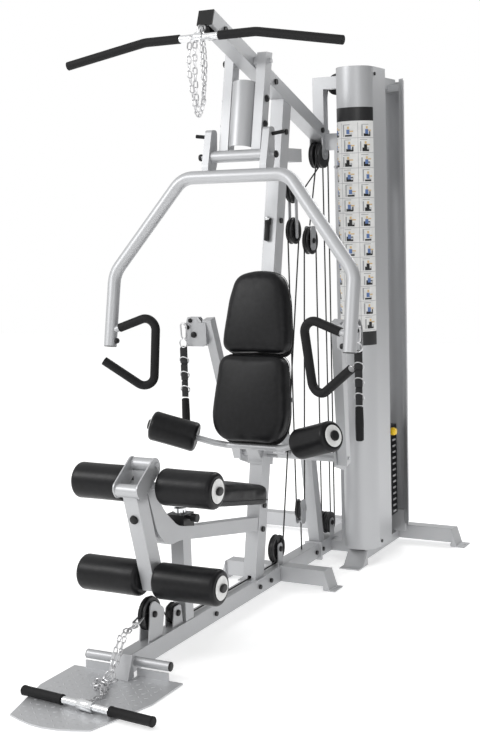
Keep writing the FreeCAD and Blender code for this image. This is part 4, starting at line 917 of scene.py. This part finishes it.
FACE = pad_place(0.0)
plate = bevelled_box((0, 0.598, 0.0012), (0.015, 0.018, 0.0012))
bmesh.ops.transform(plate, matrix=FACE, verts=plate.verts)
turned([(0, 0.002), (0.0062, 0.002), (0.0062, 0.0055), (0.0045, 0.007), (0, 0.0072)],
       FACE @ Vector((0, 0.598, 0)), FACE.to_3x3() @ Vector((0, 0, 1)), 24, plate)
piece("roller_bar_plate", plate, MATERIALS["chrome"], "frame")
latch = bevelled_box((-0.006, 1.462, 0.011), (0.010, 0.040, 0.009), soft=0.006)
bevelled_box((-0.006, 1.500, 0.008), (0.013, 0.014, 0.007), latch, None, 0.005)
bmesh.ops.transform(latch, matrix=FACE, verts=latch.verts)
piece("post_latch", latch, MATERIALS["black_plastic"], "frame")
out = FACE.to_3x3() @ Vector((0, 0, 1))
bolt_cap("post_latch_pin", FACE @ Vector((-0.006, 1.512, 0.012)), out, 0.0095, 0.012, "frame", "chrome")

# ---------------------------------------------------------------- weight tower details
rod_low, rod_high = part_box("guide_rods")
rods = bmesh.new()
bumpers = bmesh.new()
for y in (0.902, 1.052):
    turned(rounded_rod(0.0095, rod_low.z, rod_high.z, 0.001), (0.2, y, 0), (0, 0, 1), 24, rods)
    spring = [(0.0097, 0.068)]
    for turn in range(5):
        z = 0.068 + turn * 0.0164
        spring += [(0.0185, z), (0.024, z + 0.004), (0.024, z + 0.0124), (0.0185, z + 0.0164)]
    spring.append((0.0097, 0.150))
    turned(spring, (0.2, y, 0), (0, 0, 1), 32, bumpers)
guides = piece("guide_rod_pair", rods, MATERIALS["chrome"], "frame")
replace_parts(guides, "guide_rods")
piece("rod_bumpers", bumpers, MATERIALS["black_plastic"], "frame")
ticks = bmesh.new()
STACK_COUNT = 14
STACK_PITCH = 0.027
for number in range(STACK_COUNT):
    bevelled_box((0.2452, 1.070, 0.1635 + STACK_PITCH * number), (0.0003, 0.018, 0.0042), ticks, None, 0)
piece("plate_labels", ticks, GREY_PLASTIC, "frame")
knob = [(0, -0.004), (0.012, -0.004), (0.0165, 0.001), (0.0175, 0.009), (0.0165, 0.016), (0.0125, 0.021),
        (0.006, 0.023), (0, 0.0232)]
piece("selector_knob", turned(knob, (0.2695, 0.977, 0.543), (1, 0, 0), 40), MATERIALS["yellow_knob"],
      "selector_pin")


# ---------------------------------------------------------------- instruction panel on the shroud
SHROUD_X = 0.200
SHROUD_Y = 0.810
SHROUD_R = 0.080


def wrapped(bm, turn_a, turn_b, z_a, z_b, lift, slot=0, steps=None):
    """A patch of film on the half-round shroud front, between two angles in degrees."""
    steps = steps or max(2, int(abs(turn_b - turn_a) / 6))
    inner, outer = [], []
    for step in range(steps + 1):
        angle = math.radians(turn_a + (turn_b - turn_a) * step / steps)
        for ring, reach in ((inner, SHROUD_R + 0.00005), (outer, SHROUD_R + lift)):
            x = SHROUD_X + reach * math.cos(angle)
            y = SHROUD_Y + reach * math.sin(angle)
            ring.append((bm.verts.new((x, y, z_a)), bm.verts.new((x, y, z_b))))
    for step in range(steps):
        (a, b), (c, d) = outer[step], outer[step + 1]
        (e, f), (g, h) = inner[step], inner[step + 1]
        for corners in ((a, c, d, b), (e, f, h, g), (a, e, g, c), (b, d, h, f)):
            bm.faces.new(corners).material_index = slot
    for (a, b), (e, f) in ((outer[0], inner[0]), (outer[-1], inner[-1])):
        bm.faces.new((a, b, f, e)).material_index = slot


INKS = [printed("panel_white", (0.78, 0.78, 0.77)), printed("panel_black", (0.015, 0.015, 0.016)),
        printed("panel_grey", (0.36, 0.36, 0.37)), printed("panel_blue", (0.12, 0.20, 0.42)),
        printed("panel_orange", (0.70, 0.50, 0.24)), printed("panel_pale", (0.58, 0.58, 0.58))]


def instruction_panel():
    """A generic exercise chart: header, a grid of picture cells with plain figures, and a foot."""
    bm = bmesh.new()
    wrapped(bm, 188, 352, 0.946, 1.925, 0.0004, 0)
    wrapped(bm, 188, 352, 1.870, 1.925, 0.0007, 1)
    wrapped(bm, 188, 352, 0.946, 1.004, 0.0007, 1)
    columns = 3
    rows = 14
    width = 162 / columns
    height = (1.862 - 1.010) / rows
    for row in range(rows):
        low = 1.010 + row * height
        wrapped(bm, 189, 351, low - 0.0008, low + 0.0008, 0.0006, 2)
        for column in range(columns):
            left = 189 + column * width
            wrapped(bm, left - 0.6, left + 0.6, low, low + height, 0.0006, 2, 1)
            shift = ((row * 3 + column * 2) % 5 - 2) * 1.6
            middle = left + width * 0.48 + shift
            turn = (row * 7 + column * 5) % 4
            wrapped(bm, middle - 17, middle - 13, low + 0.006, low + height * (0.90 - 0.07 * turn), 0.0008,
                    2, 1)
            wrapped(bm, middle - 17, middle + 6, low + height * 0.86, low + height * 0.90, 0.0008, 2, 3)
            wrapped(bm, middle - 10, middle + 12, low + 0.006, low + 0.013 + 0.004 * turn, 0.0008, 1, 3)
            wrapped(bm, middle - 5, middle + 5, low + 0.016, low + height * 0.56, 0.0010,
                    3 if turn != 2 else 1, 2)
            wrapped(bm, middle + 5, middle + 16, low + height * (0.40 + 0.05 * turn),
                    low + height * (0.48 + 0.05 * turn), 0.0008, 4, 2)
            wrapped(bm, middle + 5, middle + 13, low + height * 0.22, low + height * 0.34, 0.0008, 5, 2)
            wrapped(bm, middle - 2.5, middle + 3.5, low + height * 0.59, low + height * 0.76, 0.0010, 4, 2)
            if turn == 1:
                wrapped(bm, middle + 9, middle + 13, low + 0.008, low + 0.026, 0.0010, 1, 1)
    made = piece("instruction_panel", bm, INKS, "frame", smooth=False)
    return made


instruction_panel()

# ---------------------------------------------------------------- stack cable, a straight wire in place of the CAD one
stack_low, stack_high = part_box("stack_cable")
centre = (stack_low + stack_high) / 2
line = [Vector((centre.x, centre.y, stack_low.z + (stack_high.z - stack_low.z) * k / 40)) for k in range(41)]
stack_line = piece("stack_cable_line", path_tube(line, 0.003, sides=12), MATERIALS["cable_black"], "frame")
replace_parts(stack_line, "stack_cable")
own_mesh(stack_line)


# ---------------------------------------------------------------- studio
def studio():
    """A white floor, a graded dome of light that the camera sees as plain white, and three soft lamps."""
    bm = bmesh.new()
    for x, y in ((-9, -9), (9, -9), (9, 9), (-9, 9)):
        bm.verts.new((x, y, -0.0005))
    bm.faces.new(bm.verts)
    mesh = bpy.data.meshes.new("floor")
    bm.to_mesh(mesh)
    bm.free()
    floor = bpy.data.objects.new("floor", mesh)
    bpy.context.scene.collection.objects.link(floor)
    s = Shader("floor_white", (0.86, 0.86, 0.86), roughness=0.8, Emission_Strength=0.45)
    s.bsdf.inputs["Emission Color"].default_value = (1, 1, 1, 1)
    floor.data.materials.append(s.material)
    world = bpy.data.worlds.new("studio")
    bpy.context.scene.world = world
    world.use_nodes = True
    nodes = world.node_tree.nodes
    links = world.node_tree.links
    around = nodes.new("ShaderNodeTexCoord")
    toward = nodes.new("ShaderNodeVectorMath")
    toward.operation = "DOT_PRODUCT"
    toward.inputs[1].default_value = (-0.62, -0.50, 0.60)
    fade = nodes.new("ShaderNodeMapRange")
    fade.inputs["From Min"].default_value = -0.7
    fade.inputs["From Max"].default_value = 0.9
    fade.inputs["To Min"].default_value = 0.16
    fade.inputs["To Max"].default_value = 0.95
    links.new(around.outputs["Generated"], toward.inputs[0])
    links.new(toward.outputs["Value"], fade.inputs["Value"])
    soft = nodes["Background"]
    soft.inputs["Color"].default_value = (1, 1, 1, 1)
    links.new(fade.outputs["Result"], soft.inputs["Strength"])
    plain = nodes.new("ShaderNodeBackground")
    plain.inputs["Color"].default_value = (1, 1, 1, 1)
    plain.inputs["Strength"].default_value = 1.0
    seen = nodes.new("ShaderNodeLightPath")
    mix = nodes.new("ShaderNodeMixShader")
    links.new(seen.outputs["Is Camera Ray"], mix.inputs["Fac"])
    links.new(soft.outputs["Background"], mix.inputs[1])
    links.new(plain.outputs["Background"], mix.inputs[2])
    links.new(mix.outputs["Shader"], nodes["World Output"].inputs["Surface"])
    bpy.context.scene.view_settings.view_transform = "Standard"
    lamps = [("key", (-2.8, -3.2, 3.2), 1.6, 62),
             ("fill", (2.6, -3.6, 2.0), 2.0, 18),
             ("rim", (0.5, 3.2, 3.4), 2.0, 60)]
    for name, place, size, energy in lamps:
        lamp = bpy.data.lights.new(name, "AREA")
        lamp.size = size
        lamp.energy = energy
        holder = bpy.data.objects.new(name, lamp)
        bpy.context.scene.collection.objects.link(holder)
        holder.location = place
        holder.rotation_euler = (Vector((0, 0, 1.0)) - Vector(place)).to_track_quat("-Z", "Y").to_euler()


SENSOR = 24
FOCAL_PIXELS = 1254.48
PICTURE_HEIGHT = 749


def camera():
    """The view from the front and the +X side, as solved from the picture."""
    azimuth, elevation, roll = (math.radians(angle) for angle in (27.514, 7.965, -1.711))
    back = Vector((math.sin(azimuth) * math.cos(elevation), -math.cos(azimuth) * math.cos(elevation),
                   math.sin(elevation)))
    right = Vector((math.cos(azimuth), math.sin(azimuth), 0))
    up = back.cross(right)
    rolled_right = right * math.cos(roll) + up * math.sin(roll)
    rolled_up = up * math.cos(roll) - right * math.sin(roll)
    data = bpy.data.cameras.new("camera")
    data.sensor_fit = "VERTICAL"
    data.sensor_height = SENSOR
    data.lens = SENSOR * FOCAL_PIXELS / PICTURE_HEIGHT
    data.shift_x = -0.0237
    data.shift_y = 0.0151
    data.clip_end = 60
    holder = bpy.data.objects.new("camera", data)
    bpy.context.scene.collection.objects.link(holder)
    turn = Matrix((rolled_right, rolled_up, back)).transposed()
    holder.matrix_world = Matrix.Translation((2.2585, -4.0959, 1.5197)) @ turn.to_4x4()
    bpy.context.scene.camera = holder


studio()
camera()
